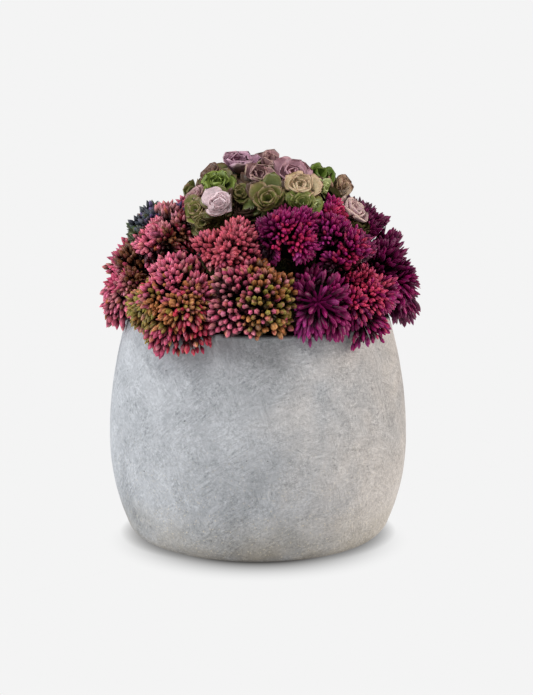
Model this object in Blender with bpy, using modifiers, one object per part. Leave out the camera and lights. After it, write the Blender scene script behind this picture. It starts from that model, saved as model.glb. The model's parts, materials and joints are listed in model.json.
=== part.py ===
"""A round, belly-shaped cement pot with a lift-out planted insert.

The insert is a foam block under a moss cover. Sedum picks and branched succulent
sprays are pushed into the foam, and each pulls out along its own stem.
Metres, +Z up, origin on the pot's axis at the face it stands on, front towards -Y.
"""

import math

import bmesh
import bpy
from mathutils import Matrix, Vector

# Pot
POT_HEIGHT = 0.1927
BASE_RADIUS = 0.0975
CORNER_HEIGHT = 0.016
FOOT_BEND = (0.1112, 0.0030)  # where the wall and the foot would meet without the rounding
BELLY_RADIUS = 0.1293
BELLY_HEIGHT = 0.089
RIM_RADIUS = 0.1132
LOWER_SWELL = 0.0215  # how much the belly would stand out over the wall's foot at z = 0
LOWER_POWER = 2.15
UPPER_POWER = 1.8
WALL = 0.012
FLOOR = 0.014
RIM_ROUND = 0.003
HOLE_RADIUS = 0.009
RECESS_RADIUS = 0.014
RECESS_DEPTH = 0.004

# Insert
GAP = 0.0003
FOAM_RADIUS = 0.088
FOAM_SHOULDER = 0.186
DOME_RADIUS = 0.080
DOME_HEIGHT = 0.092
MOSS = 0.004

# Picks: all stems point away from one place deep in the foam
STEM_ORIGIN = Vector((0.0, 0.0, 0.150))
STEM_TIP = 0.060
STEM_RADIUS = 0.002
STEM_SIDES = 8
FORK = 0.138  # how far a spray's fork is from STEM_ORIGIN
HOLE_REACH = 0.160
HEAD_SIDES = 12
ROSETTE_SIDES = 10
ARM_RADIUS = 0.0013
SPLIT_GAP = 0.0008
RIM_CLEAR = 0.0018

# Each pick: name, colour, azimuth and elevation of its stem in degrees, how far its
# head's centre is from STEM_ORIGIN and the head's radius, both in millimetres
PICKS = [
    ("pick_pink_left", "pink", -170, 35, 122, 36),
    ("pick_pink_front_left", "pink", -124, 33, 119, 43),
    ("pick_gold_front", "gold", -87, 32, 119, 39),
    ("pick_magenta_front", "magenta", -63, 33, 119, 33),
    ("pick_magenta_front_right", "magenta", -37, 33, 117, 38),
    ("pick_purple_right", "purple", 0, 37, 122, 39),
    ("pick_purple_back_right", "purple", 41, 34, 123, 38),
    ("pick_magenta_back", "magenta", 78, 34, 123, 38),
    ("pick_gold_back", "gold", 116, 34, 123, 38),
    ("pick_pink_back_left", "pink", 154, 34, 123, 38),
    ("pick_pink_upper_left", "pink", -154, 54, 139, 32),
    ("pick_pink_upper_front", "pink", -109, 51, 138, 31),
    ("pick_magenta_upper_front", "magenta", -73, 56, 143, 31),
    ("pick_magenta_upper_right", "magenta", -41, 47, 134, 34),
    ("pick_magenta_small", "magenta", -37, 59, 151, 17),
    ("pick_purple_upper_right", "purple", 3, 54, 141, 31),
    ("pick_magenta_upper_back", "magenta", 48, 52, 137, 32),
    ("pick_purple_upper_back", "purple", 90, 52, 137, 32),
    ("pick_pink_upper_back", "pink", 130, 52, 137, 32),
    ("pick_violet_left", "violet", 171, 52, 137, 31),
]

# Each spray: its stem's azimuth and elevation, the half angle it fills, then its rosettes:
# colour, azimuth, elevation, how far the centre is from STEM_ORIGIN and the radius
SPRAYS = {
    "spray_left": (-127, 67, 13, [
        ("bright_green", -131, 72, 170, 14),
        ("olive", -143, 66, 165, 13),
        ("pale_pink", -113, 62, 165, 15),
        ("olive", -132, 61, 160, 14),
        ("olive", -124, 58, 152, 12),
    ]),
    "spray_front": (-90, 69, 12, [
        ("green", -104, 68, 167, 12),
        ("mauve", -90, 76, 172, 14),
        ("olive", -84, 64, 167, 16),
        ("olive", -77, 71, 170, 13),
    ]),
    "spray_right": (-52, 67, 13, [
        ("mauve", -42, 77, 172, 15),
        ("cream", -57, 68, 171, 14),
        ("green", -62, 62, 166, 14),
        ("olive", -53, 60, 160, 13),
        ("pale_green", -35, 66, 170, 13),
    ]),
    "spray_single": (-17, 59, 7, [
        ("mauve", -17, 59, 161, 15),
    ]),
    "spray_back_right": (30, 69, 15, [
        ("green", 0, 72, 171, 14),
        ("tan", 8, 65, 169, 14),
        ("olive", 35, 67, 169, 15),
        ("mauve", 57, 70, 170, 15),
        ("pale_green", 58, 63, 164, 13),
    ]),
    "spray_back_left": (128, 77, 17, [
        ("mauve", 153, 84, 175, 14),
        ("pale_pink", 61, 83, 176, 14),
        ("brown", 178, 76, 172, 14),
        ("olive", 96, 68, 169, 15),
        ("green", 128, 66, 168, 15),
        ("olive", 157, 66, 165, 14),
    ]),
}

# Colour, roughness, metallic value
MATERIALS = {
    "cement": ((0.46, 0.46, 0.45), 0.85, 0.0),
    "rubber": ((0.03, 0.03, 0.03), 0.7, 0.0),
    "foam": ((0.22, 0.30, 0.14), 0.95, 0.0),
    "moss": ((0.05, 0.06, 0.02), 0.95, 0.0),
    "stem": ((0.07, 0.10, 0.03), 0.6, 0.0),
    "pink": ((0.60, 0.14, 0.19), 0.5, 0.0),
    "gold": ((0.48, 0.20, 0.10), 0.5, 0.0),
    "magenta": ((0.28, 0.02, 0.14), 0.5, 0.0),
    "purple": ((0.14, 0.01, 0.08), 0.5, 0.0),
    "violet": ((0.12, 0.10, 0.20), 0.5, 0.0),
    "bright_green": ((0.16, 0.34, 0.06), 0.5, 0.0),
    "green": ((0.14, 0.22, 0.05), 0.5, 0.0),
    "pale_green": ((0.38, 0.44, 0.18), 0.5, 0.0),
    "olive": ((0.20, 0.20, 0.08), 0.5, 0.0),
    "tan": ((0.33, 0.24, 0.14), 0.5, 0.0),
    "brown": ((0.13, 0.07, 0.05), 0.5, 0.0),
    "mauve": ((0.45, 0.25, 0.28), 0.5, 0.0),
    "pale_pink": ((0.66, 0.48, 0.52), 0.5, 0.0),
    "cream": ((0.68, 0.60, 0.42), 0.5, 0.0),
}


def clear_scene():
    for obj in list(bpy.data.objects):
        bpy.data.objects.remove(obj, do_unlink=True)


def collection(name):
    made = bpy.data.collections.new(name)
    bpy.context.scene.collection.children.link(made)
    return made


def material(name):
    found = bpy.data.materials.get(name)
    if found:
        return found
    colour, roughness, metallic = MATERIALS[name]
    made = bpy.data.materials.new(name)
    made.use_nodes = True
    shader = made.node_tree.nodes["Principled BSDF"]
    shader.inputs["Base Color"].default_value = (*colour, 1.0)
    shader.inputs["Roughness"].default_value = roughness
    shader.inputs["Metallic"].default_value = metallic
    return made


def new_object(name, mesh, colour, home):
    obj = bpy.data.objects.new(name, mesh)
    mesh.materials.append(material(colour))
    home.objects.link(obj)
    return obj


def turned(name, profile, sides, colour, home, closed=False):
    """Turn a profile of (radius, height) points, listed down its outer side, about Z."""
    mesh = bpy.data.meshes.new(name)
    count = len(profile)
    edges = [(i, i + 1) for i in range(count - 1)]
    if closed:
        edges.append((count - 1, 0))
    mesh.from_pydata([(r, 0.0, z) for r, z in profile], edges, [])
    obj = new_object(name, mesh, colour, home)
    screw = obj.modifiers.new("turn", "SCREW")
    screw.axis = "Z"
    screw.angle = 2 * math.pi
    screw.steps = sides
    screw.render_steps = sides
    screw.use_merge_vertices = not closed
    screw.merge_threshold = 0.00001
    screw.use_smooth_shade = True
    return obj


def evaluated_mesh(obj):
    bpy.context.view_layer.update()
    graph = bpy.context.evaluated_depsgraph_get()
    return bpy.data.meshes.new_from_object(obj.evaluated_get(graph), depsgraph=graph)


def apply_modifiers(obj):
    mesh = evaluated_mesh(obj)
    obj.modifiers.clear()
    obj.data = mesh


def direction(azimuth, elevation):
    a, e = math.radians(azimuth), math.radians(elevation)
    return Vector((math.cos(e) * math.cos(a), math.cos(e) * math.sin(a), math.sin(e)))


def stem_frame(aim):
    """The frame at STEM_ORIGIN whose +Z runs out along a stem."""
    return Matrix.Translation(STEM_ORIGIN) @ aim.to_track_quat("Z", "Y").to_matrix().to_4x4()


def arc(centre, radius, start, end, count):
    """Points of an arc, angles in degrees from +X towards +Z."""
    angles = [math.radians(start + (end - start) * i / count) for i in range(count + 1)]
    return [(centre[0] + radius * math.cos(a), centre[1] + radius * math.sin(a)) for a in angles]


def rounded(start, bend, end, count):
    """Points after the start of a smooth curve that leaves towards the bend and comes from it."""
    points = []
    for i in range(1, count + 1):
        t = i / count
        a, b, c = (1 - t) ** 2, 2 * t * (1 - t), t * t
        points.append((a * start[0] + b * bend[0] + c * end[0], a * start[1] + b * bend[1] + c * end[1]))
    return points


def wall_radius(z):
    """Outer radius of the pot's wall above the foot's corner."""
    if z < BELLY_HEIGHT:
        return BELLY_RADIUS - LOWER_SWELL * (1 - z / BELLY_HEIGHT) ** LOWER_POWER
    rise = (z - BELLY_HEIGHT) / (POT_HEIGHT - BELLY_HEIGHT)
    return BELLY_RADIUS - (BELLY_RADIUS - RIM_RADIUS) * rise ** UPPER_POWER


def pot_profile():
    """Closed outline of the shell: rim, outer wall, foot, drain hole, floor, inner wall."""
    rim_out = (wall_radius(POT_HEIGHT - RIM_ROUND) - RIM_ROUND, POT_HEIGHT - RIM_ROUND)
    rim_in = (rim_out[0] + 2 * RIM_ROUND - WALL, rim_out[1])
    top = rim_out[1]
    outer = [top - (top - CORNER_HEIGHT) * i / 13 for i in range(1, 14)]
    floor_corner = 0.012
    inner = [FLOOR + floor_corner + (top - FLOOR - floor_corner) * i / 10 for i in range(10)]
    points = arc(rim_out, RIM_ROUND, 90, 0, 3)
    points += [(wall_radius(z), z) for z in outer]
    points += rounded((wall_radius(CORNER_HEIGHT), CORNER_HEIGHT), FOOT_BEND, (BASE_RADIUS, 0.0), 4)
    points += [(RECESS_RADIUS, 0.0), (RECESS_RADIUS, RECESS_DEPTH)]
    points += [(HOLE_RADIUS, RECESS_DEPTH), (HOLE_RADIUS, FLOOR)]
    corner = (wall_radius(inner[0]) - WALL - floor_corner, FLOOR + floor_corner)
    points += arc(corner, floor_corner, -90, 0, 3)
    points += [(wall_radius(z) - WALL, z) for z in inner[1:]]
    points += arc(rim_in, RIM_ROUND, 180, 90, 3)
    return points


def dome_profile(radius, height, foot, count):
    """Half outline of a dome standing on height foot, from its top down."""
    return [
        (radius * math.sin(math.pi / 2 * i / count), foot + height * math.cos(math.pi / 2 * i / count))
        for i in range(count + 1)
    ]


def foam_profile():
    points = dome_profile(DOME_RADIUS, DOME_HEIGHT, FOAM_SHOULDER, 7)
    points += [(FOAM_RADIUS, FOAM_SHOULDER), (FOAM_RADIUS, FLOOR + GAP + 0.006)]
    points += [(FOAM_RADIUS - 0.006, FLOOR + GAP), (0.0, FLOOR + GAP)]
    return points


def moss_profile():
    foot = FOAM_SHOULDER + GAP
    inner = DOME_RADIUS + GAP
    outer = dome_profile(inner + MOSS, DOME_HEIGHT + MOSS, foot, 7)
    return outer + dome_profile(inner, DOME_HEIGHT, foot, 7)[::-1]


def moss_distance(aim):
    """How far the moss's face is from STEM_ORIGIN along a stem."""
    radius, height = DOME_RADIUS + GAP + MOSS, DOME_HEIGHT + MOSS
    drop = STEM_ORIGIN.z - FOAM_SHOULDER - GAP
    side = math.hypot(aim.x, aim.y)
    a = (side / radius) ** 2 + (aim.z / height) ** 2
    b = 2 * drop * aim.z / height**2
    c = (drop / height) ** 2 - 1
    return (-b + math.sqrt(b * b - 4 * a * c)) / (2 * a)


def plug_profile():
    """A rubber bung pushed up into the drain hole, its flange inside the recess."""
    flange, body = RECESS_RADIUS - 0.0007, HOLE_RADIUS - GAP
    top = FLOOR - 0.001
    points = [(0.0, top), (body - 0.0008, top), (body, top - 0.002), (body, RECESS_DEPTH - GAP)]
    points += [(flange, RECESS_DEPTH - GAP), (flange, 0.0012), (flange - 0.0006, 0.0006)]
    return points + [(0.0, 0.0006)]


def pick_profile(reach, radius, neck):
    """Stem and domed bud head, from the head's crown down to the stem's tip."""
    crown = [(0.0, 0.93), (0.38, 0.86), (0.70, 0.66), (0.92, 0.34), (1.0, 0.0), (0.88, -0.28)]
    points = [(radius * r, reach + radius * z) for r, z in crown]
    shoulder = max(neck + 0.004, reach - 0.5 * radius)
    points += [(0.45 * radius, shoulder), (STEM_RADIUS, neck)]
    return points + [(STEM_RADIUS, STEM_TIP + 0.004), (0.0, STEM_TIP)]


def rosette_profile(reach, radius):
    """A rosette's closed leaves, from the crown out to the widest ring and down to the base."""
    shape = [(0.0, 0.40), (0.5, 0.37), (0.92, 0.22), (1.0, 0.0), (0.4, -0.50), (0.0, -0.56)]
    return [(radius * r, reach + radius * z) for r, z in shape]


def stem_rows():
    """Every stem pushed into the foam: name, aim and the half angle that it fills."""
    rows = []
    for name, _, azimuth, elevation, reach, radius in PICKS:
        rows.append((name, direction(azimuth, elevation), math.asin(radius / reach)))
    for name, (azimuth, elevation, width, _) in SPRAYS.items():
        rows.append((name, direction(azimuth, elevation), math.radians(width)))
    return rows


def split_normal(aim, width, other, other_width):
    """Normal of the plane between two stems, towards the other one."""
    across = aim.cross(other).normalized()
    turn = aim.angle(other) * width / (width + other_width)
    between = Matrix.Rotation(turn, 3, across) @ aim
    return across.cross(between).normalized()


def splits_for(name, rows):
    """Planes through STEM_ORIGIN that keep one pick inside its own wedge of space."""
    aims = {row[0]: row[1:] for row in rows}
    aim, width = aims.pop(name)
    return [split_normal(aim, width, other, w) for other, w in aims.values()]


def cut(mesh, frame, planes):
    """Cut away what lies beyond each (point, normal) plane, given in world space."""
    bm = bmesh.new()
    bm.from_mesh(mesh)
    into = frame.inverted()
    for point, normal in planes:
        place = into @ point
        way = into.to_3x3() @ normal
        geometry = bm.verts[:] + bm.edges[:] + bm.faces[:]
        done = bmesh.ops.bisect_plane(
            bm, geom=geometry, dist=0.000001, plane_co=place, plane_no=way, clear_outer=True
        )
        rim = [e for e in done["geom_cut"] if isinstance(e, bmesh.types.BMEdge)]
        if rim:
            bmesh.ops.holes_fill(bm, edges=rim, sides=0)
    bmesh.ops.remove_doubles(bm, verts=bm.verts[:], dist=0.00002)
    bmesh.ops.dissolve_degenerate(bm, edges=bm.edges[:], dist=0.00002)
    bmesh.ops.triangulate(bm, faces=[f for f in bm.faces if len(f.verts) > 4])
    bmesh.ops.recalc_face_normals(bm, faces=bm.faces[:])
    bm.to_mesh(mesh)
    bm.free()
    mesh.shade_smooth()
    mesh.set_sharp_from_angle(angle=math.radians(40))


def wedge_planes(normals):
    return [(STEM_ORIGIN - n * SPLIT_GAP / 2, n) for n in normals]


def rim_plane(aim):
    """A plane that slopes down and out past the pot's rim below a low head."""
    out = Vector((aim.x, aim.y, 0.0)).normalized()
    edge = out * (RIM_RADIUS + RIM_CLEAR) + Vector((0.0, 0.0, POT_HEIGHT + RIM_CLEAR))
    return edge, (-out - Vector((0.0, 0.0, 1.0))).normalized()


def make_pick(row, rows, home):
    name, colour, azimuth, elevation, reach, radius = row
    aim = direction(azimuth, elevation)
    reach, radius = reach / 1000, radius / 1000
    neck = max(moss_distance(aim) + 0.002, reach - 0.8 * radius)
    obj = turned(name, pick_profile(reach, radius, neck), HEAD_SIDES, colour, home)
    apply_modifiers(obj)
    obj.matrix_world = stem_frame(aim)
    cut(obj.data, obj.matrix_world, wedge_planes(splits_for(name, rows)) + [rim_plane(aim)])
    return obj


def rod(name, start, end, radius, colour, home):
    """A round rod between two points in world space."""
    mesh = bpy.data.meshes.new(name)
    bm = bmesh.new()
    bmesh.ops.create_cone(
        bm, cap_ends=True, segments=STEM_SIDES, radius1=radius, radius2=radius, depth=(end - start).length
    )
    bm.to_mesh(mesh)
    bm.free()
    obj = new_object(name, mesh, colour, home)
    turn = (end - start).to_track_quat("Z", "Y").to_matrix().to_4x4()
    obj.matrix_world = Matrix.Translation((start + end) / 2) @ turn
    return obj


def join_by_union(target, extras):
    for extra in extras:
        union = target.modifiers.new("union", "BOOLEAN")
        union.operation = "UNION"
        union.solver = "EXACT"
        union.object = extra
    apply_modifiers(target)
    for extra in extras:
        bpy.data.objects.remove(extra, do_unlink=True)


def make_spray_stem(name, aim, rosettes, home):
    """The main stem, a swelling where it branches and one arm up to each rosette."""
    fork = STEM_ORIGIN + aim * FORK
    frame = stem_frame(aim)
    swell = STEM_RADIUS * 1.7
    profile = [(0.0, FORK + swell), (swell, FORK), (STEM_RADIUS, FORK - 0.004)]
    profile += [(STEM_RADIUS, STEM_TIP + 0.004), (0.0, STEM_TIP)]
    stem = turned(f"{name}_stem", profile, STEM_SIDES, "stem", home)
    apply_modifiers(stem)
    stem.matrix_world = frame
    arms = []
    for number, (_, azimuth, elevation, reach, radius) in enumerate(rosettes, 1):
        base = (reach - 0.56 * radius) / 1000 - ARM_RADIUS - GAP
        end = STEM_ORIGIN + direction(azimuth, elevation) * base
        arms.append(rod(f"{name}_arm_{number}", fork, end, ARM_RADIUS, "stem", home))
    join_by_union(stem, arms)
    return stem


def make_rosette(name, row, normals, home):
    colour, azimuth, elevation, reach, radius = row
    obj = turned(name, rosette_profile(reach / 1000, radius / 1000), ROSETTE_SIDES, colour, home)
    apply_modifiers(obj)
    obj.matrix_world = stem_frame(direction(azimuth, elevation))
    cut(obj.data, obj.matrix_world, wedge_planes(normals))
    return obj


def make_spray(name, rows, home):
    azimuth, elevation, _, rosettes = SPRAYS[name]
    stem = make_spray_stem(name, direction(azimuth, elevation), rosettes, home)
    outside = splits_for(name, rows)
    leaves = [(direction(a, e), math.asin(radius / reach)) for _, a, e, reach, radius in rosettes]
    for number, row in enumerate(rosettes):
        aim, width = leaves[number]
        others = leaves[:number] + leaves[number + 1 :]
        inside = [split_normal(aim, width, other, w) for other, w in others]
        rosette = make_rosette(f"{name}_rosette_{number + 1}", row, outside + inside, home)
        rosette.parent = stem
        rosette.matrix_parent_inverse = stem.matrix_world.inverted()
    return stem


def make_stem_cutter(rows, home):
    """One cutter of all the stem holes, a little wider than the stems."""
    bm = bmesh.new()
    middle = (HOLE_REACH + STEM_TIP - GAP) / 2
    for _, aim, _ in rows:
        place = stem_frame(aim) @ Matrix.Translation((0.0, 0.0, middle))
        bmesh.ops.create_cone(
            bm, cap_ends=True, segments=STEM_SIDES, radius1=STEM_RADIUS + GAP,
            radius2=STEM_RADIUS + GAP, depth=2 * (HOLE_REACH - middle), matrix=place,
        )
    mesh = bpy.data.meshes.new("stem_holes")
    bm.to_mesh(mesh)
    bm.free()
    cutter = new_object("stem_holes", mesh, "stem", home)
    cutter.hide_render = True
    cutter.display_type = "WIRE"
    return cutter


def bore(obj, cutter):
    holes = obj.modifiers.new("stem holes", "BOOLEAN")
    holes.operation = "DIFFERENCE"
    holes.solver = "EXACT"
    holes.object = cutter


def ride_on(parent, children):
    for child in children:
        child.parent = parent


def main():
    clear_scene()
    home = collection("planted_pot")
    tools = collection("cutters")
    turned("pot_shell", pot_profile(), 40, "cement", home, closed=True)
    turned("drain_plug", plug_profile(), 16, "rubber", home)
    foam = turned("foam_block", foam_profile(), 32, "foam", home)
    moss = turned("moss_cover", moss_profile(), 32, "moss", home)
    rows = stem_rows()
    cutter = make_stem_cutter(rows, tools)
    bore(foam, cutter)
    bore(moss, cutter)
    insert = bpy.data.objects.new("insert", None)
    home.objects.link(insert)
    picks = [make_pick(row, rows, home) for row in PICKS]
    sprays = [make_spray(name, rows, home) for name in SPRAYS]
    ride_on(insert, [foam, moss] + picks + sprays)


main()
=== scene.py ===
"""Looks of a round cement pot planted with artificial sedum heads and succulent rosettes.

Metres, +Z up, front towards -Y. Every pick and spray stays inside its own wedge of space,
whose planes all run through STEM_ORIGIN, so each pulls out along its stem without touching
its neighbours.
"""

import json
import math
from collections import namedtuple

import bpy
import numpy as np
from mathutils import Matrix, Vector, noise


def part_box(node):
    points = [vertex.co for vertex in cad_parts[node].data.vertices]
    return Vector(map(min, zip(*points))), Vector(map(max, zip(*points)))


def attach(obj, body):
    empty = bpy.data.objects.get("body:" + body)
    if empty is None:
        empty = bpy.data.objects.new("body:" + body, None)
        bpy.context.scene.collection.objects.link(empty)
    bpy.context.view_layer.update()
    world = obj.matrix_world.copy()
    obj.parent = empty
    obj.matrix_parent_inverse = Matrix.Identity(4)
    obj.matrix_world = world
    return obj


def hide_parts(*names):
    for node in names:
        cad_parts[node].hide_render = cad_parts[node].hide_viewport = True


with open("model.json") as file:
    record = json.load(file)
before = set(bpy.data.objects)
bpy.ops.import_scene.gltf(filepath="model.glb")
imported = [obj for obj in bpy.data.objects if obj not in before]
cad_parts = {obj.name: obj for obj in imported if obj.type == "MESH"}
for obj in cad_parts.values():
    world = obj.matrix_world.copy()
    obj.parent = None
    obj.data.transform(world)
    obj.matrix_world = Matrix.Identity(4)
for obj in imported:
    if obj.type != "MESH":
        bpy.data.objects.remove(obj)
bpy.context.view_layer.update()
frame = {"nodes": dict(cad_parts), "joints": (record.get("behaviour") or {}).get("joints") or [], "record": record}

# Pot, from its packed box and the wall's curve
POT_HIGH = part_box("pot_shell")[1]
POT_HEIGHT = POT_HIGH.z
BELLY_RADIUS = POT_HIGH.x
BELLY_HEIGHT = 0.089
RIM_RADIUS = 0.1132
BASE_RADIUS = 0.0975
CORNER_HEIGHT = 0.016
FOOT_BEND = (0.1112, 0.0030)  # where the wall and the foot would meet without the rounding
LOWER_SWELL = 0.0215
LOWER_POWER = 2.15
UPPER_POWER = 1.8
WALL = 0.012
LIP = 0.003  # rounding of the rim
INNER_CORNER = 0.012
POT_FLOOR = 0.014
HOLE_RADIUS = 0.009
RECESS_RADIUS = 0.014
RECESS_DEPTH = 0.004
POT_SIDES = 400
HAND_WAVES = ((0.055, 0.00040), (0.019, 0.00016), (0.006, 0.00007))  # width and height of each

# Insert
STEM_ORIGIN = np.array((0.0, 0.0, 0.150))
STEM_TIP = 0.060
STEM_RADIUS = 0.0018
STRAIGHT_STEM = 0.055  # from its tip, before it bends to the head
FORK = 0.138
MOSS_RADIUS, MOSS_HEIGHT, MOSS_FOOT = 0.0843, 0.096, 0.1863
POT_CLEAR = 0.0012  # how close the hanging buds come to the pot
WEDGE_CLEAR = 0.0002
STEM_RADII = np.array([0.0006] + [STEM_RADIUS] * 13)  # a pointed end, then one thickness

GOLDEN = math.pi * (3 - math.sqrt(5))


def srgb(*rgb):
    """Linear colour of an sRGB colour given in 0-255."""
    c = np.array(rgb, float) / 255
    return np.where(c <= 0.04045, c / 12.92, ((c + 0.055) / 1.055) ** 2.4)


# Bud colours
PINK = srgb(232, 118, 146)
SALMON = srgb(212, 94, 112)
ROSE = srgb(206, 84, 118)
DUSTY = srgb(214, 132, 142)
CRIMSON = srgb(204, 58, 84)
DARK_RED = srgb(132, 30, 48)
GOLD = srgb(202, 134, 82)
AMBER = srgb(166, 100, 54)
OLIVE = srgb(154, 134, 62)
LIME = srgb(166, 152, 70)
BRONZE = srgb(124, 78, 52)
MAGENTA = srgb(152, 18, 98)
ORCHID = srgb(172, 46, 128)
RASPBERRY = srgb(188, 40, 90)
CORAL = srgb(212, 72, 112)
PLUM = srgb(112, 16, 76)
WINE = srgb(74, 8, 50)
VIOLET = srgb(104, 88, 134)
SLATE = srgb(84, 88, 98)
PINE = srgb(84, 96, 62)

# Stem colours
STEM_GREEN = srgb(84, 86, 48)
SPRAY_GREEN = srgb(86, 92, 48)
ARM_GREEN = srgb(92, 96, 50)
FILLER_GREEN = srgb(60, 62, 34)
BRANCH_BROWN = srgb(96, 62, 48)
STALK_BROWN = srgb(92, 60, 44)
# near black: painted shade inside the heads
CORE_SHADE = srgb(7, 4, 4)

# Each pick: body, azimuth and elevation of its head from STEM_ORIGIN, how far the head's
# centre is, the head's radius (mm), the half angle that it fills, how far it may hang below
# the pot's rim (mm), bud style, and its colour zones: (x, z, colour) places on the head as
# the front camera sees it, in head radii. Picks at the back have zones turned outwards.
PICKS = [
    ("pick_pink_left", -170, 35, 122, 37, 19, 15, "egg",
     [(-0.8, 0.4, ROSE), (-0.7, -0.5, PINK), (0.0, 0.3, BRONZE), (0.4, -0.2, AMBER), (-0.3, 0.8, BRONZE),
      (-0.3, -0.8, ROSE), (-0.4, 0.0, DUSTY)]),
    ("pick_pink_front_left", -127, 33, 119, 49, 25, 15, "egg",
     [(-0.1, 0.85, PINK), (-0.6, 0.45, PINK), (0.45, 0.6, PINK), (-0.9, 0.0, OLIVE),
      (-0.45, 0.0, GOLD), (0.3, 0.1, GOLD), (-0.7, -0.35, OLIVE), (0.1, -0.4, CRIMSON),
      (-0.4, -0.75, ROSE), (0.2, -0.9, CRIMSON), (0.7, -0.3, ROSE), (0.8, 0.2, DUSTY)]),
    ("pick_gold_front", -92, 33, 117, 45, 20, -2, "berry",
     [(-0.8, 0.4, DUSTY), (-0.6, 0.0, PINK), (-0.7, -0.4, PINK), (-0.2, -0.1, PINK), (-0.1, 0.6, ROSE),
      (0.4, 0.6, AMBER), (0.1, 0.3, OLIVE), (0.6, 0.1, OLIVE), (0.3, -0.6, LIME), (0.8, -0.5, BRONZE),
      (-0.3, -0.7, DUSTY), (0.2, -0.2, GOLD)]),
    ("pick_magenta_front", -63, 33, 119, 37, 15, 24, "star",
     [(0.0, 0.2, PLUM), (-0.3, -0.4, ORCHID), (0.3, -0.5, MAGENTA), (0.5, 0.1, MAGENTA)]),
    ("pick_magenta_front_right", -39, 33, 117, 39, 18, 18, "spindle",
     [(-0.5, 0.6, MAGENTA), (-0.1, 0.5, RASPBERRY), (0.35, 0.5, CORAL), (0.5, 0.15, CORAL),
      (-0.4, -0.1, PLUM), (0.1, -0.3, PLUM), (0.5, -0.6, MAGENTA), (0.0, -0.9, ORCHID), (0.9, 0.0, MAGENTA)]),
    ("pick_purple_right", 0, 37, 121, 44, 20, 18, "blade",
     [(-0.2, 0.5, PLUM), (0.5, 0.3, PLUM), (0.0, -0.2, WINE), (0.7, -0.2, MAGENTA), (0.4, -0.7, PLUM)]),
    ("pick_purple_back_right", 41, 34, 123, 41, 18, 12, "blade",
     [(-0.5, 0.4, PLUM), (0.5, 0.2, MAGENTA), (0.0, -0.5, WINE)]),
    ("pick_magenta_back", 78, 34, 122, 42, 18, 14, "spindle",
     [(-0.5, 0.4, MAGENTA), (0.4, 0.3, RASPBERRY), (0.0, -0.4, ORCHID), (0.6, -0.5, PLUM)]),
    ("pick_gold_back", 116, 34, 122, 42, 18, 8, "berry",
     [(-0.6, 0.2, GOLD), (0.0, 0.4, DUSTY), (0.5, -0.1, OLIVE), (-0.2, -0.6, PINK), (0.3, -0.6, AMBER)]),
    ("pick_pink_back_left", 154, 34, 122, 42, 18, 16, "egg",
     [(-0.6, 0.4, PINK), (0.5, 0.4, ROSE), (0.0, -0.1, GOLD), (-0.4, -0.5, CRIMSON), (0.5, -0.6, OLIVE)]),
    ("pick_pink_upper_left", -154, 54, 139, 34, 15, 0, "egg",
     [(-0.7, 0.3, PINK), (-0.2, 0.75, DUSTY), (-0.5, -0.4, PINK), (0.5, 0.4, DARK_RED), (0.6, -0.1, DARK_RED),
      (0.1, -0.7, AMBER), (0.2, 0.2, BRONZE)]),
    ("pick_pink_upper_front", -106, 50, 137, 32, 15.5, 0, "egg",
     [(0.0, 0.6, SALMON), (-0.6, 0.0, SALMON), (0.4, -0.1, SALMON), (0.0, -0.6, ROSE), (-0.6, -0.6, DUSTY)]),
    ("pick_magenta_upper_front", -74, 54.5, 143, 34, 14, 0, "spindle",
     [(-0.6, 0.2, PLUM), (0.3, 0.6, MAGENTA), (0.1, 0.1, RASPBERRY), (0.6, -0.2, MAGENTA),
      (0.0, -0.6, ORCHID)]),
    ("pick_magenta_upper_right", -44, 48, 134, 38, 16, 0, "spindle",
     [(-0.5, 0.5, ORCHID), (0.1, 0.6, MAGENTA), (0.3, 0.1, RASPBERRY), (-0.4, -0.2, MAGENTA),
      (0.3, -0.6, CORAL), (0.7, 0.2, PLUM)]),
    ("pick_magenta_small", -39, 60, 152, 20, 7.5, 0, "spindle",
     [(-0.4, 0.4, MAGENTA), (0.4, 0.0, RASPBERRY)]),
    ("pick_purple_upper_right", 3, 54, 142, 34, 13, 0, "blade",
     [(-0.3, 0.3, WINE), (0.5, 0.2, PLUM), (0.0, -0.5, WINE)]),
    ("pick_magenta_upper_back", 48, 52, 136, 35, 14, 0, "spindle",
     [(-0.5, 0.3, MAGENTA), (0.4, 0.4, ORCHID), (0.0, -0.5, PLUM)]),
    ("pick_purple_upper_back", 90, 52, 136, 35, 14, 0, "blade",
     [(-0.4, 0.3, PLUM), (0.5, 0.1, MAGENTA), (0.0, -0.5, WINE)]),
    ("pick_pink_upper_back", 130, 52, 136, 35, 14, 0, "egg",
     [(-0.5, 0.4, SALMON), (0.5, 0.2, PINK), (0.0, -0.5, ROSE), (0.2, 0.0, GOLD)]),
    ("pick_violet_left", 171, 52, 137, 34, 15, 0, "egg",
     [(0.3, 0.5, VIOLET), (-0.2, 0.2, SLATE), (-0.7, -0.2, PINE), (0.0, -0.6, PINE), (0.7, 0.2, BRONZE)]),
]

# Slope of a hanging head's lower edge: how much it rises for each metre towards +X
HANG_RISE = {"pick_pink_front_left": 0.30, "pick_magenta_front_right": 0.35, "pick_pink_left": -0.35}

# Outlines of half a bud: (share of its length, share of its radius)
EGG = [(0, 0.22), (0.14, 0.66), (0.34, 1.0), (0.58, 0.88), (0.80, 0.50), (1, 0.05)]
BERRY = [(0, 0.24), (0.16, 0.74), (0.38, 1.0), (0.64, 0.90), (0.86, 0.50), (1, 0.05)]
SPINDLE = [(0, 0.26), (0.20, 0.46), (0.46, 0.84), (0.68, 1.0), (0.88, 0.66), (1, 0.08)]
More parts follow.
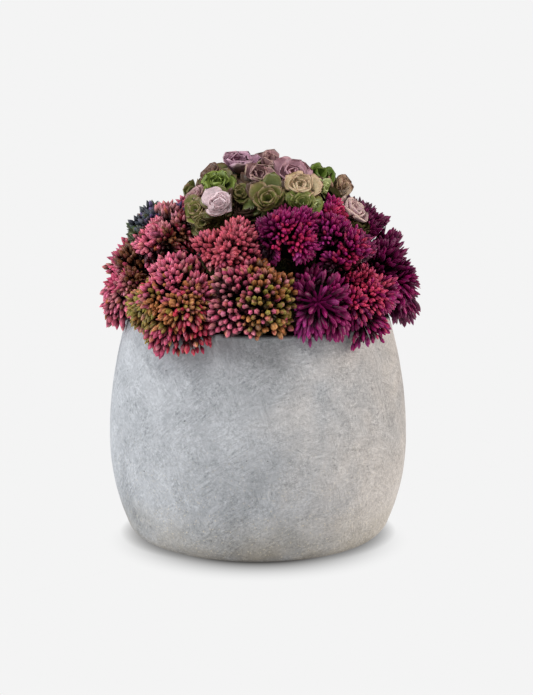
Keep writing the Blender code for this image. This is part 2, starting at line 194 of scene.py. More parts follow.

# Bud styles. length and radius in metres; flat is the thinner way's share of the radius;
# count and clumps are the buds and lumps of buds on a head of HEAD_RADIUS; depth is how deep
# the creases between lumps are and lean how far buds lean out of their lump; lobes is how
# strongly a bud is ribbed; foot is how dark its foot is painted, painted shade between the
# crowded buds with a little of a darker calyx; gap is how far out from its middle a lump
# still has buds; past is how far a bud may lean out of its wedge before it is left out.
HEAD_RADIUS = 0.038
BUD_COLUMNS = "outline length radius flat count depth lean lobes clumps foot gap past".split()
BUD_ROWS = {
    "egg": (EGG, 0.0084, 0.0021, 1.0, 640, 0.26, 0.95, 0.12, 8, 0.10, 1.3, 0.0035),
    "berry": (BERRY, 0.0074, 0.0021, 1.0, 500, 0.16, 0.50, 0.12, 9, 0.09, 1.3, 0.0035),
    "spindle": (SPINDLE, 0.0114, 0.0016, 0.88, 800, 0.26, 0.95, 0.10, 8, 0.12, 1.08, 0.0020),
    "blade": (SPINDLE, 0.0158, 0.0022, 0.45, 560, 0.20, 0.65, 0.06, 8, 0.12, 1.2, 0.0025),
    "star": (SPINDLE, 0.0135, 0.0021, 0.80, 420, 0.26, 0.85, 0.10, 6, 0.12, 1.0, 0.0016),
}
BUDS = {style: dict(zip(BUD_COLUMNS, row)) for style, row in BUD_ROWS.items()}
BUD_SIDES = 10
# Layers of buds on a head: share of the head's buds, share of its radius, brightness; the inner layer is painted
# dark, painted shade deep in the head
LAYERS = ((1.0, 1.0, 1.0), (0.55, 0.78, 0.15))
LOW_HANG = 0.010  # heads that hang further than this below the rim sag more
LUMP_SPREAD, BUD_SPREAD = math.radians(96), math.radians(118)  # how far round from a head's top
LUMP_COVER = math.radians(105)  # half angle of the cap that the lumps share out
LUMP_OVERLAP = 1.12
LEAST_REACH = 0.76  # of the deepest crease, as a share of the head's radius
SAG, DROOP = (0.12, 0.34), (0.3, 0.9)  # of a head's underside and its buds: standing, hanging
INSIDE_WEDGE = 0.0011  # how far inside the wedge a bud's middle stays
ABOVE_RIM, OFF_WALL = 0.003, 0.0026  # how far a bud's middle stays clear of the pot
RAGGED_HEIGHT, RAGGED_WAVES = 0.003, 37  # of a head's uneven lower edge
CLUMP_REACH, KNOT_DEPTH = 0.50, 0.62  # where branches end and where they part, in head radii
BRANCH_RADII = np.linspace(0.0012, 0.0008, 7)
BRANCH_CLEAR = 0.0015
STALK_RADII = (0.00035, 0.00048)

# Rosette colours: leaf body, leaf edge, leaf back
BRIGHT = (srgb(112, 130, 54), srgb(146, 164, 76), srgb(82, 98, 42))
GREEN = (srgb(116, 132, 60), srgb(146, 142, 84), srgb(92, 104, 52))
OLIVE_LEAF = (srgb(128, 138, 66), srgb(152, 122, 94), srgb(112, 112, 60))
DEEP_OLIVE = (srgb(106, 112, 54), srgb(124, 104, 70), srgb(88, 86, 48))
BROWN_LEAF = (srgb(108, 84, 66), srgb(126, 92, 82), srgb(84, 62, 50))
MAUVE = (srgb(190, 146, 160), srgb(206, 160, 170), srgb(142, 112, 104))
LILAC = (srgb(186, 140, 164), srgb(208, 168, 184), srgb(120, 120, 62))
MAUVE_OLIVE = (srgb(176, 134, 142), srgb(186, 150, 142), srgb(128, 128, 64))
BLUSH = (srgb(208, 176, 184), srgb(216, 190, 178), srgb(182, 150, 150))
SHELL = (srgb(250, 232, 236), srgb(246, 218, 222), srgb(222, 194, 186))
CREAM = (srgb(226, 214, 176), srgb(214, 176, 146), srgb(198, 176, 138))
PALE_GREEN = (srgb(172, 184, 112), srgb(196, 204, 148), srgb(140, 152, 82))
TAN = (srgb(188, 164, 130), srgb(150, 112, 96), srgb(158, 130, 100))
ROUND_GREEN = (srgb(94, 122, 44), srgb(112, 128, 58), srgb(82, 100, 44))

# Each spray: body, azimuth, elevation and half angle, then its rosettes: azimuth,
# elevation, distance from STEM_ORIGIN and radius (mm), style, colours, and where the
# rosette faces (azimuth, elevation)
SPRAYS = {
    "spray_left": (-127, 67, 13, [
        (-131, 72, 169, 14, "wavy", BRIGHT, (-110, 45)),
        (-143, 66, 164, 12, "spoon", MAUVE_OLIVE, (-150, 45)),
        (-113, 61, 166, 15, "bloom", SHELL, (-104, 20)),
        (-132, 61, 160, 14, "spoon", OLIVE_LEAF, (-118, 30)),
        (-124, 58, 153, 11, "spoon", DEEP_OLIVE, (-110, 10)),
    ]),
    "spray_front": (-90, 69, 12, [
        (-104, 68, 166, 11, "spoon", DEEP_OLIVE, (-80, 35)),
        (-90, 76, 171, 14, "cup", MAUVE_OLIVE, (-80, 45)),
        (-84, 64, 167, 17, "spoon", OLIVE_LEAF, (-95, 30)),
        (-77, 71, 169, 12, "spoon", GREEN, (-80, 50)),
    ]),
    "spray_right": (-52, 67, 13, [
        (-42, 77, 171, 15, "rose", MAUVE, (-75, 40)),
        (-57, 68, 171, 14, "rose", CREAM, (-88, 42)),
        (-62, 62, 166, 15, "spoon", GREEN, (-80, 42)),
        (-53, 60, 161, 12, "spoon", PALE_GREEN, (-55, 15)),
        (-35, 66, 170, 11, "spoon", PALE_GREEN, (-60, 35)),
    ]),
    "spray_single": (-17, 59, 7, [
        (-17, 58, 160, 14, "rose", BLUSH, (-35, 40)),
    ]),
    "spray_back_right": (30, 69, 15, [
        (0, 72, 170, 13, "round", ROUND_GREEN, (-70, 35)),
        (6, 64, 168, 16, "fan", TAN, (-30, 30)),
        (35, 67, 168, 15, "spoon", OLIVE_LEAF, (40, 40)),
        (57, 70, 169, 15, "rose", MAUVE, (60, 45)),
        (58, 63, 163, 13, "spoon", PALE_GREEN, (60, 30)),
    ]),
    "spray_back_left": (128, 77, 17, [
        (153, 84, 172, 17, "cup", LILAC, (-85, 64)),
        (61, 83, 173, 15, "cup", MAUVE_OLIVE, (-60, 60)),
        (178, 76, 170, 13, "spoon", BROWN_LEAF, (-150, 45)),
        (96, 68, 167, 15, "spoon", OLIVE_LEAF, (95, 35)),
        (128, 66, 166, 15, "wavy", GREEN, (130, 35)),
        (156, 66, 162, 13, "spoon", OLIVE_LEAF, (150, 30)),
    ]),
}


# ---------------------------------------------------------------- small tools


def direction(azimuth, elevation):
    """Unit vector at an azimuth and elevation in degrees."""
    a, e = math.radians(azimuth), math.radians(elevation)
    return np.array((math.cos(e) * math.cos(a), math.cos(e) * math.sin(a), math.sin(e)))


def unit(v):
    """Vectors of length 1 along the given ones."""
    return v / np.maximum(np.linalg.norm(v, axis=-1, keepdims=True), 1e-12)


def side_axes(axis):
    """Two unit vectors across each of the given unit axes."""
    helper = np.where(np.abs(axis[..., 2:3]) < 0.9, (0.0, 0.0, 1.0), (1.0, 0.0, 0.0))
    x = unit(np.cross(helper, axis))
    return x, np.cross(axis, x)


def turn_to(axis):
    """Rows that turn a shape made along +Z so that it stands along the axis."""
    x, y = side_axes(axis[None])
    return np.stack([x[0], y[0], axis])


def around(count):
    """Even angles round a full turn."""
    return np.linspace(0, math.tau, count, endpoint=False)


def spin(points, angle):
    """Points turned about the Z axis."""
    (x, y, z), c, s = points.T, math.cos(angle), math.sin(angle)
    return np.stack([x * c - y * s, x * s + y * c, z], -1)


def slot_of(node):
    """Material slot that the record gives a node."""
    return next(s["material_slot"] for s in frame["record"]["subparts"] if s["node"] == node)


def wall_radius(z):
    """Outer radius of the pot's wall at heights z."""
    z = np.asarray(z, float)
    low = np.clip(1 - z / BELLY_HEIGHT, 0, 1)
    high = np.clip((z - BELLY_HEIGHT) / (POT_HEIGHT - BELLY_HEIGHT), 0, 1)
    narrow = BELLY_RADIUS - RIM_RADIUS
    return BELLY_RADIUS - LOWER_SWELL * low**LOWER_POWER - narrow * high**UPPER_POWER


def split_normal(aim, width, other, other_width):
    """Normal of the plane between two stems, towards the other one."""
    a, b = Vector(aim), Vector(other)
    across = a.cross(b).normalized()
    between = Matrix.Rotation(a.angle(b) * width / (width + other_width), 3, across) @ a
    return np.array(across.cross(between).normalized())


def stem_rows():
    """Each pick's and spray's own way out from STEM_ORIGIN and the half angle that it fills."""
    rows = {row[0]: (direction(row[1], row[2]), math.radians(row[5])) for row in PICKS}
    for name, (azimuth, elevation, width, _) in SPRAYS.items():
        rows[name] = (direction(azimuth, elevation), math.radians(width))
    return rows


STEMS = stem_rows()
PULL = {joint["child"]: np.array(joint["axis"], float) for joint in frame["joints"]}


def wedge(name):
    """Normals of the planes that bound one pick's or spray's share of the space."""
    aim, width = STEMS[name]
    return np.array([split_normal(aim, width, *row) for other, row in STEMS.items() if other != name])


def past_wedge(points, normals):
    """How far each point is past the nearest plane of a wedge; below 0 is inside it."""
    return ((points - STEM_ORIGIN) @ normals.T).max(-1)


def press_into_wedge(points, normals, clear=WEDGE_CLEAR):
    """Press what crosses a wedge's planes flat against them."""
    for _ in range(2):
        for normal in normals:
            over = np.maximum((points - STEM_ORIGIN) @ normal + clear, 0)
            points -= over[..., None] * normal
    return points


def press_off_pot(points):
    """Lift or push out what would touch the pot's rim or wall."""
    radius = np.hypot(points[..., 0], points[..., 1])
    limit = wall_radius(np.minimum(points[..., 2], POT_HEIGHT)) + POT_CLEAR
    up = POT_HEIGHT + POT_CLEAR - points[..., 2]
    out = limit - radius
    low = (up > 0) & (out > 0)
    lift = low & (up < out)
    points[..., 2] += np.where(lift, up, 0)
    scale = np.where(low & ~lift, limit / np.maximum(radius, 1e-9), 1.0)
    points[..., :2] *= scale[..., None]
    return points


def mesh_object(name, verts, faces, tint=None):
    """A mesh object from arrays: verts (n, 3), faces as a list of (m, 3) or (m, 4) arrays."""
    mesh = bpy.data.meshes.new(name)
    verts = np.ascontiguousarray(verts, np.float32)
    mesh.vertices.add(len(verts))
    mesh.vertices.foreach_set("co", verts.ravel())
    loops = np.concatenate([f.ravel() for f in faces]).astype(np.int32)
    sizes = np.concatenate([np.full(len(f), f.shape[1]) for f in faces])
    starts = np.concatenate(([0], np.cumsum(sizes)[:-1])).astype(np.int32)
    mesh.loops.add(len(loops))
    mesh.loops.foreach_set("vertex_index", loops)
    mesh.polygons.add(len(starts))
    mesh.polygons.foreach_set("loop_start", starts)
    mesh.update(calc_edges=True)
    mesh.validate()
    mesh.shade_smooth()
    if tint is not None:
        layer = mesh.attributes.new("tint", "FLOAT_VECTOR", "POINT")
        layer.data.foreach_set("vector", np.ascontiguousarray(tint, np.float32).ravel())
    obj = bpy.data.objects.new(name, mesh)
    bpy.context.scene.collection.objects.link(obj)
    return obj


class Parts:
    """Collects vertex, face and tint arrays into one mesh."""

    def __init__(self):
        self.verts, self.faces, self.tints, self.count = [], {3: [], 4: []}, [], 0

    def add(self, verts, faces, tint):
        """Add a shape: its vertices, its faces by their own numbers, its paint."""
        verts = np.asarray(verts, float).reshape(-1, 3)
        for f in faces:
            if len(f):
                self.faces[f.shape[1]].append(f + self.count)
        self.verts.append(verts)
        self.tints.append(np.broadcast_to(tint, verts.shape).reshape(-1, 3))
        self.count += len(verts)

    def build(self, name, material, body, slot, *nodes):
        """One piece out of all that was added."""
        faces = [np.concatenate(f) for f in self.faces.values() if f]
        obj = mesh_object(name, np.concatenate(self.verts), faces, np.concatenate(self.tints))
        return dress(obj, material, body, slot, *nodes)


def dress(obj, material, body, slot, *nodes):
    """Give a piece its material and its body, and hide the nodes that it stands for; the slot is not used."""
    obj.data.materials.append(material)
    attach(obj, body)
    if nodes:
        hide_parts(*nodes)
    return obj


def ring_faces(rings, sides, closed=False):
    """Quads between stacked rings of vertices."""
    r = np.arange(rings if closed else rings - 1)[:, None] * sides
    s = np.arange(sides)[None, :]
    nxt = (s + 1) % sides
    above = (r + sides) % (rings * sides)
    return np.stack(np.broadcast_arrays(r + s, r + nxt, above + nxt, above + s), -1).reshape(-1, 4)


def fan_faces(first, tip, sides, flip=False):
    """Triangles from a ring of vertices to one point."""
    s = np.arange(sides)
    tri = np.stack([first + s, first + (s + 1) % sides, np.full(sides, tip)], -1)
    return tri[:, ::-1] if flip else tri


def closed_faces(rings, sides):
    """Stacked rings closed by a point at each end; the two points come after the rings."""
    n = rings * sides
    caps = [fan_faces(0, n, sides, flip=True), fan_faces(n - sides, n + 1, sides)]
    return [ring_faces(rings, sides), np.concatenate(caps)]


def tube(points, radii, sides):
    """A closed tube along points, with a radius at each."""
    points = np.asarray(points, float)
    radii = np.broadcast_to(radii, len(points))
    way = unit(np.gradient(points, axis=0))
    x, _ = side_axes(way[:1])
    angle = around(sides)
    rings = []
    for p, w, r in zip(points, way, radii):
        x = unit(x - (x @ w)[:, None] * w)
        y = np.cross(w, x)
        rings.append(p + r * (np.cos(angle)[:, None] * x + np.sin(angle)[:, None] * y))
    return np.concatenate(rings + [points[:1], points[-1:]]), closed_faces(len(points), sides)


def add_tube(parts, path, radii, sides, tint, normals, clear):
    """A tube that keeps to its wedge and off the pot."""
    verts, faces = tube(press_into_wedge(path, normals, clear), radii, sides)
    parts.add(press_off_pot(verts), faces, tint)


def bezier(a, b, c, count):
    """Points along the curve from a to c that leaves towards b."""
    t = np.linspace(0, 1, count)[:, None]
    return (1 - t) ** 2 * np.asarray(a) + 2 * t * (1 - t) * np.asarray(b) + t**2 * np.asarray(c)


# ---------------------------------------------------------------- materials


class Graph:
    """Short calls for making a material's nodes. An input is named, or i and its number."""

    def __init__(self, name):
        self.material = bpy.data.materials.new(name)
        self.material.use_nodes = True
        self.tree = self.material.node_tree
        self.shader = self.tree.nodes["Principled BSDF"]

    def node(self, kind, settings=None, **inputs):
        """A shader node with its settings and inputs."""
        made = self.tree.nodes.new("ShaderNode" + kind)
        for key, value in (settings or {}).items():
            setattr(made, key, value)
        for key, value in inputs.items():
            by_place = key[0] == "i" and key[1:].isdigit()
            self.put(made.inputs[int(key[1:]) if by_place else key.replace("_", " ")], value)
        return made

    def put(self, socket, value):
        """Link an output to a socket, or give the socket a value."""
        if isinstance(value, bpy.types.NodeSocket):
            self.tree.links.new(value, socket)
        elif hasattr(value, "__len__") and len(value) == 3 and socket.type == "RGBA":
            socket.default_value = (*value, 1.0)
        else:
            socket.default_value = value

    def noise(self, where, scale, detail=3.0, rough=0.5, distort=0.0):
        """Soft noise from 0 to 1."""
        made = self.node("TexNoise", None, Vector=where, Scale=scale, Detail=detail, Roughness=rough,
                         Distortion=distort)
        return made.outputs["Fac"]

    def ramp(self, value, low, high, to_low=0.0, to_high=1.0):
        """A value between low and high, carried over to another range."""
        made = self.node("MapRange", None, i0=value, i1=low, i2=high, i3=to_low, i4=to_high)
        return made.outputs[0]

    def math(self, kind, *values):
        """The values joined from left to right by one operation."""
        total = values[0]
        for value in values[1:]:
            total = self.node("Math", {"operation": kind}, i0=total, i1=value).outputs[0]
        return total

    def mix(self, factor, a, b):
        """Colour a with a share of colour b."""
        made = self.node("Mix", {"data_type": "RGBA"}, i0=factor, i6=a, i7=b)
        return made.outputs[2]

    def coords(self, scale=(1, 1, 1), turn=(0, 0, 0)):
        """Places in the object's own axes, scaled and turned."""
        where = self.node("TexCoord").outputs["Object"]
        if scale == (1, 1, 1) and turn == (0, 0, 0):
            return where
        sizes = tuple(1 / s for s in scale)
        made = self.node("Mapping", {"vector_type": "TEXTURE"}, Vector=where, Scale=sizes, Rotation=turn)
        return made.outputs[0]

    def bump(self, height, strength, distance):
        """A normal that follows a height."""
        made = self.node("Bump", None, Strength=strength, Distance=distance, Height=height)
        return made.outputs[0]

    def finish(self, colour, roughness, normal=None, **constants):
        """Connect what the material shows and return it."""
        self.put(self.shader.inputs["Base Color"], colour)
        self.put(self.shader.inputs["Roughness"], roughness)
        if normal is not None:
            self.put(self.shader.inputs["Normal"], normal)
        for key, value in constants.items():
            self.put(self.shader.inputs[key.replace("_", " ")], value)
        return self.material


STROKE_TURNS = ((0.1, 0.5, 0.0), (0.1, -0.9, 0.2), (0.7, 0.1, 0.1), (0.0, 1.3, 0.3), (-0.7, -0.3, 0.2))
STROKE_SCALE = (85, 85, 600)  # long and flat, a trowel's marks
PIT_SIZES = ((120.0, 0.80, 0.075), (44.0, 0.66, 0.036))  # cells per metre, least chance, radius


def trowel_strokes(g):
    """Patches of strokes, each patch turned its own way."""
    strokes = g.noise(g.coords(STROKE_SCALE, STROKE_TURNS[0]), 1.0, 4, 0.7, 1.2)
    for k, turn in enumerate(STROKE_TURNS[1:], 1):
        layer = g.noise(g.coords(STROKE_SCALE, turn), 1.0, 4, 0.7, 1.2)
        patch = g.noise(g.coords((1, 1, 1), (0.7 * k, 0.4 * k, 1.1 * k)), 30, 2, 0.5, 1.5)
        mixed = g.node("Mix", {"data_type": "FLOAT"}, i0=g.ramp(patch, 0.45, 0.55), i2=strokes, i3=layer)
        strokes = mixed.outputs[0]
    return strokes


def pinholes(g, where):
    """1 in a pinhole, 0 elsewhere."""
    sizes = []
    for scale, least, radius in PIT_SIZES:
        pits = g.node("TexVoronoi", None, Vector=where, Scale=scale)
        chance = g.node("SeparateColor", None, Color=pits.outputs["Color"]).outputs[0]
        hole = g.ramp(pits.outputs["Distance"], radius, radius * 0.6)
        sizes.append(g.math("MULTIPLY", hole, g.ramp(chance, least, least + 0.05)))
    return g.math("MAXIMUM", *sizes)


def cement_material():
    """Hand-rubbed cement: clouds, trowel strokes, grain, pinholes with painted shade, a sandy foot, and painted
    warm light on the +X side.
    """
    g = Graph("cement")
    where = g.coords()
    place = g.node("SeparateXYZ", None, Vector=where)
    clouds = g.noise(where, 13, 6, 0.6, 0.6)
    blotch = g.noise(where, 34, 5, 0.6, 1.2)
    strokes = trowel_strokes(g)
    flecks = g.noise(where, 430, 2, 0.8)
    grain = g.noise(where, 1100, 3, 0.7)
    rough = g.ramp(g.noise(g.coords((1, 1, 1), (0.3, 0.2, 0.9)), 42, 4, 0.6, 1.0), 0.36, 0.66, 0.45, 1.35)
    fine = [g.math("MULTIPLY", rough, g.ramp(flecks, 0.30, 0.70, -0.22, 0.22)),
            g.math("MULTIPLY", rough, g.ramp(grain, 0.30, 0.70, -0.15, 0.15))]
    tone = g.math("ADD", g.ramp(clouds, 0.32, 0.70, -0.18, 0.18), g.ramp(blotch, 0.3, 0.7, -0.12, 0.12),
                  g.ramp(strokes, 0.30, 0.70, -0.25, 0.25), *fine)
    level = g.ramp(tone, -0.5, 0.5)
    colour = g.mix(level, srgb(134, 137, 141), srgb(219, 221, 225))
    # painted warm light: the +X side tinted warmer, as the warm lamp on that side lights it
    drift = g.math("ADD", place.outputs["X"], g.ramp(clouds, 0.3, 0.7, -0.05, 0.05))
    painted_warm_light = g.math("MULTIPLY", g.ramp(drift, 0.02, 0.12), 0.8)
    colour = g.mix(painted_warm_light, colour, g.mix(level, srgb(138, 132, 128), srgb(222, 215, 209)))
    patchy = g.ramp(g.noise(where, 30, 4, 0.6), 0.35, 0.65, 0.35, 1.0)
    sand = g.math("MULTIPLY", g.ramp(place.outputs["Z"], 0.050, 0.004), patchy)
    colour = g.mix(sand, colour, g.mix(level, srgb(142, 135, 124), srgb(208, 200, 187)))
    specks = g.math("MULTIPLY", g.ramp(g.noise(where, 620, 2, 0.6), 0.62, 0.70),
                    g.ramp(place.outputs["Z"], 0.12, 0.01, 0.12, 0.9))
    colour = g.mix(specks, colour, srgb(226, 216, 194))
    hole = pinholes(g, where)
    # pinholes painted dark: painted shade in the pits
    colour = g.mix(g.math("MULTIPLY", hole, 0.8), colour, srgb(62, 60, 58))
    depth = g.math("ADD", g.math("MULTIPLY", strokes, 0.7), g.math("MULTIPLY", rough, grain, 0.3),
                   g.math("MULTIPLY", blotch, 0.5))
    normal = g.bump(g.math("SUBTRACT", depth, hole), 0.6, 0.0013)
    return g.finish(colour, g.ramp(level, 0.2, 0.8, 0.93, 0.74), normal)


def petal_material(name, roughness, vary=0.25, bump=0.35, grain=900, gloss=0.25):
    """Moulded, painted plastic petals: each bud's own paint from its tint, which also carries painted shade and
    painted highlights, mottled, slightly satin.
    """
    g = Graph(name)
    where = g.coords()
    paint = g.node("Attribute", {"attribute_name": "tint"}).outputs["Vector"]
    mottle = g.noise(where, 420, 3, 0.6)
    fine = g.noise(where, grain, 2, 0.6)
    shade = g.math("ADD", g.ramp(mottle, 0.3, 0.7, 1 - vary, 1 + vary), g.ramp(fine, 0.3, 0.7, -0.06, 0.06))
    grey = g.node("CombineXYZ", None, X=shade, Y=shade, Z=shade).outputs[0]
    colour = g.node("VectorMath", {"operation": "MULTIPLY"}, i0=paint, i1=grey).outputs[0]
    normal = g.bump(g.math("ADD", mottle, fine), bump, 0.0006)
    rough = g.ramp(mottle, 0.3, 0.7, roughness - 0.07, roughness + 0.09)
    return g.finish(colour, rough, normal, Specular_IOR_Level=gloss)


def moss_material():
    """Dull green and brown tufts."""
    g = Graph("moss")
    where = g.coords()
    tufts = g.noise(where, 260, 5, 0.7)
    patches = g.noise(where, 45, 3, 0.5)
    green = g.mix(tufts, srgb(20, 22, 10), srgb(96, 102, 44))
    brown = g.mix(tufts, srgb(24, 16, 10), srgb(98, 74, 44))
    colour = g.mix(g.ramp(patches, 0.4, 0.62), green, brown)
    return g.finish(colour, g.ramp(tufts, 0.2, 0.8, 0.98, 0.85), g.bump(tufts, 0.9, 0.003))


def foam_material():
    """Dry flower foam: fine open cells and pale dust."""
    g = Graph("foam")
    where = g.coords()
    cells = g.node("TexVoronoi", {"feature": "DISTANCE_TO_EDGE"}, Vector=where, Scale=700.0)
    dust = g.noise(where, 60, 4, 0.6)
    fine = g.noise(where, 500, 3, 0.6)
    colour = g.mix(g.ramp(dust, 0.3, 0.7), srgb(74, 96, 58), srgb(104, 122, 78))
    colour = g.mix(g.ramp(fine, 0.35, 0.75, 0.0, 0.5), colour, srgb(130, 142, 100))
    depth = g.math("ADD", g.ramp(cells.outputs["Distance"], 0.0, 0.2), g.math("MULTIPLY", fine, 0.6))
    return g.finish(colour, g.ramp(fine, 0.3, 0.7, 0.90, 0.99), g.bump(depth, 0.7, 0.0008))


def rubber_material():
    """Dark rubber with a little dust."""
    g = Graph("rubber")
    where = g.coords()
    dust = g.noise(where, 180, 4, 0.6)
    fine = g.noise(where, 1500, 2, 0.5)
    colour = g.mix(g.ramp(dust, 0.4, 0.75), srgb(30, 30, 31), srgb(62, 60, 57))
    return g.finish(colour, g.ramp(dust, 0.3, 0.7, 0.55, 0.78), g.bump(fine, 0.3, 0.0004))


def floor_material():
    """Glows like the background, darker where the object keeps the light off the floor."""
    g = Graph("floor")
    g.tree.nodes.remove(g.shader)
    away = g.node("VectorMath", {"operation": "DISTANCE"}, i0=g.coords(), i1=(*FLOOR_SHADE_PLACE, 0))
    fade = g.math("POWER", g.ramp(away.outputs["Value"], FLOOR_SHADE_REACH[1], FLOOR_SHADE_REACH[0]), 2.0)
    near = g.node("AmbientOcclusion", {"samples": 32}, Distance=CONTACT_SHADE_REACH)
    contact = g.ramp(near.outputs["AO"], 0.0, 1.0, CONTACT_SHADE, 0.0)
    colour = g.mix(g.math("MAXIMUM", fade, contact), BACKGROUND, FLOOR_DARK)
    seen = g.node("LightPath").outputs["Is Camera Ray"]
    glow = g.node("Emission", None, Color=colour, Strength=g.ramp(seen, 0.0, 1.0, FLOOR_BOUNCE, 1.0))
    g.put(g.tree.nodes["Material Output"].inputs["Surface"], glow.outputs[0])
    return g.material


def stage_floor():
    """A plain pale floor."""
    mesh = bpy.data.meshes.new("floor")
    corners = [(-1, -1), (1, -1), (1, 1), (-1, 1)]
    mesh.from_pydata([(x * FLOOR_SIZE, y * FLOOR_SIZE, FLOOR_LEVEL) for x, y in corners], [], [(0, 1, 2, 3)])
    floor = bpy.data.objects.new("floor", mesh)
    bpy.context.scene.collection.objects.link(floor)
    mesh.materials.append(floor_material())


# ---------------------------------------------------------------- camera and light

BACKGROUND = srgb(244, 244, 244)
FLOOR_SHADE_PLACE = (0.0, -0.0223)  # the light comes from above and a little behind
FLOOR_SHADE_REACH = (0.076, 0.134)  # full shade, no shade
CONTACT_SHADE_REACH = 0.014
CONTACT_SHADE = 0.85
FLOOR_DARK = srgb(72, 70, 68)
FLOOR_SIZE = 30.0
FLOOR_LEVEL = -0.0003
FLOOR_BOUNCE = 0.95  # share of its brightness that the floor throws back on the object
CAMERA_PLACE = (0.0, -1.6, 0.45)
CAMERA_PITCH = 10.27  # degrees down
CAMERA_LENS = 97.08
CAMERA_SHIFT = (8.5 / 695, 4.0 / 695)
SENSOR_WIDTH = 36.0
LIGHT_AIM = (0, 0, 0.18)
# Each soft light: name, place, size (m), power (W), colour
SOFTBOXES = (
    ("left_softbox", (-1.15, -0.16, 0.50), (0.7, 1.0), 8.4, (0.91, 0.955, 1.0)),
    ("right_softbox", (1.15, -0.08, 0.50), (0.7, 1.0), 10.0, (1.0, 0.915, 0.825)),
    ("top_softbox", (-0.25, -0.75, 1.35), (0.6, 0.5), 10.0, (1.0, 0.99, 0.98)),
)
ROOM_COLOUR = (0.97, 0.98, 1.0, 1)
ROOM_STRENGTH = 0.17


def stage_camera():
    """The camera that was fitted to the photo."""
    data = bpy.data.cameras.new("camera")
    data.lens = CAMERA_LENS
    data.sensor_width = SENSOR_WIDTH
    data.shift_x, data.shift_y = CAMERA_SHIFT
    camera = bpy.data.objects.new("camera", data)
    camera.location = CAMERA_PLACE
    camera.rotation_euler = (math.radians(90 - CAMERA_PITCH), 0, 0)
    bpy.context.scene.collection.objects.link(camera)
    bpy.context.scene.camera = camera


def softbox(name, place, size, power, colour):
    """A rectangular lamp that looks at the arrangement."""
    data = bpy.data.lights.new(name, "AREA")
    data.shape = "RECTANGLE"
    data.size, data.size_y = size
    data.energy = power
    data.color = colour
    lamp = bpy.data.objects.new(name, data)
    lamp.location = place
    aim = Vector(LIGHT_AIM) - Vector(place)
    lamp.rotation_euler = aim.to_track_quat("-Z", "Y").to_euler()
    bpy.context.scene.collection.objects.link(lamp)


def stage_light():
    """Softboxes, a dim room, and a plain background that only the camera sees."""
    scene = bpy.context.scene
    scene.view_settings.view_transform = "Standard"
    for row in SOFTBOXES:
        softbox(*row)
    world = bpy.data.worlds.new("studio")
    scene.world = world
    world.use_nodes = True
    tree = world.node_tree
    room = tree.nodes["Background"]
    room.inputs["Color"].default_value = ROOM_COLOUR
    room.inputs["Strength"].default_value = ROOM_STRENGTH
    seen = tree.nodes.new("ShaderNodeBackground")
    seen.inputs["Color"].default_value = (*BACKGROUND, 1)
    path = tree.nodes.new("ShaderNodeLightPath")
    mix = tree.nodes.new("ShaderNodeMixShader")
    tree.links.new(path.outputs["Is Camera Ray"], mix.inputs[0])
    tree.links.new(room.outputs[0], mix.inputs[1])
    tree.links.new(seen.outputs[0], mix.inputs[2])
    tree.links.new(mix.outputs[0], tree.nodes["World Output"].inputs["Surface"])


# ---------------------------------------------------------------- pot


def arc(centre, radius, start, end, count):
    """Points on an arc between two angles in degrees."""
    angles = np.radians(np.linspace(start, end, count + 1))
    return [(centre[0] + radius * math.cos(a), centre[1] + radius * math.sin(a)) for a in angles]


def pot_outline():
    """Closed outline of the shell, from the rim down outside, then up inside."""
    top = POT_HEIGHT - LIP
    rim_out = float(wall_radius(top)) - LIP
    rim_in = rim_out + 2 * LIP - WALL
    outer = np.linspace(top, CORNER_HEIGHT, 105)[1:]
    foot = bezier((float(wall_radius(CORNER_HEIGHT)), CORNER_HEIGHT), FOOT_BEND, (BASE_RADIUS, 0.0), 20)
    points = arc((rim_out, top), LIP, 90, 0, 6)
    points += [(float(wall_radius(z)), z) for z in outer]
    points += [tuple(p) for p in foot[1:]]
    points += [(0.07, 0.0), (0.04, 0.0), (RECESS_RADIUS, 0.0), (RECESS_RADIUS, RECESS_DEPTH)]
    points += [(HOLE_RADIUS, RECESS_DEPTH), (HOLE_RADIUS, POT_FLOOR), (0.05, POT_FLOOR)]
    low = POT_FLOOR + INNER_CORNER
    points += arc((float(wall_radius(low)) - WALL - INNER_CORNER, low), INNER_CORNER, -90, 0, 5)
    points += [(float(wall_radius(z)) - WALL, z) for z in np.linspace(low, top, 26)[1:-1]]
    points += arc((rim_in, top), LIP, 180, 90, 6)
    return np.array(points)


def hand_finish(points):
    """How far the rubbed surface stands in or out at each point."""
    return np.array([sum(a * noise.noise(Vector(p) / s) for s, a in HAND_WAVES) for p in points])


def make_pot(material):
    """The turned shell, slightly uneven where hands rubbed it."""
    outline = pot_outline()
    rings = len(outline)
    angle = around(POT_SIDES)
    verts = np.empty((rings, POT_SIDES, 3))
    verts[..., 0] = outline[:, :1] * np.cos(angle)
    verts[..., 1] = outline[:, :1] * np.sin(angle)
    verts[..., 2] = outline[:, 1:]
    flat = verts.reshape(-1, 3)
    radius = np.hypot(flat[:, 0], flat[:, 1])
    seen = (flat[:, 2] > 0.001) & (radius > wall_radius(flat[:, 2]) - 0.008) & (radius > BASE_RADIUS)
    push = hand_finish(flat[seen])
    flat[seen, :2] *= (1 + push / radius[seen])[:, None]
    rim = flat[:, 2] > POT_HEIGHT - 0.002
    flat[rim, 2] -= np.abs(hand_finish(flat[rim] * (1, 1, 0) + (0, 0, 0.5))) * 1.2
    obj = mesh_object("cement_pot", flat, [ring_faces(rings, POT_SIDES, closed=True)])
    dress(obj, material, "pot", "cement", "pot_shell")


# ---------------------------------------------------------------- sedum heads


Bud = namedtuple("Bud", "verts faces height seam angle")
Head = namedtuple("Head", "name centre radius aim azimuth hang style zones normals")


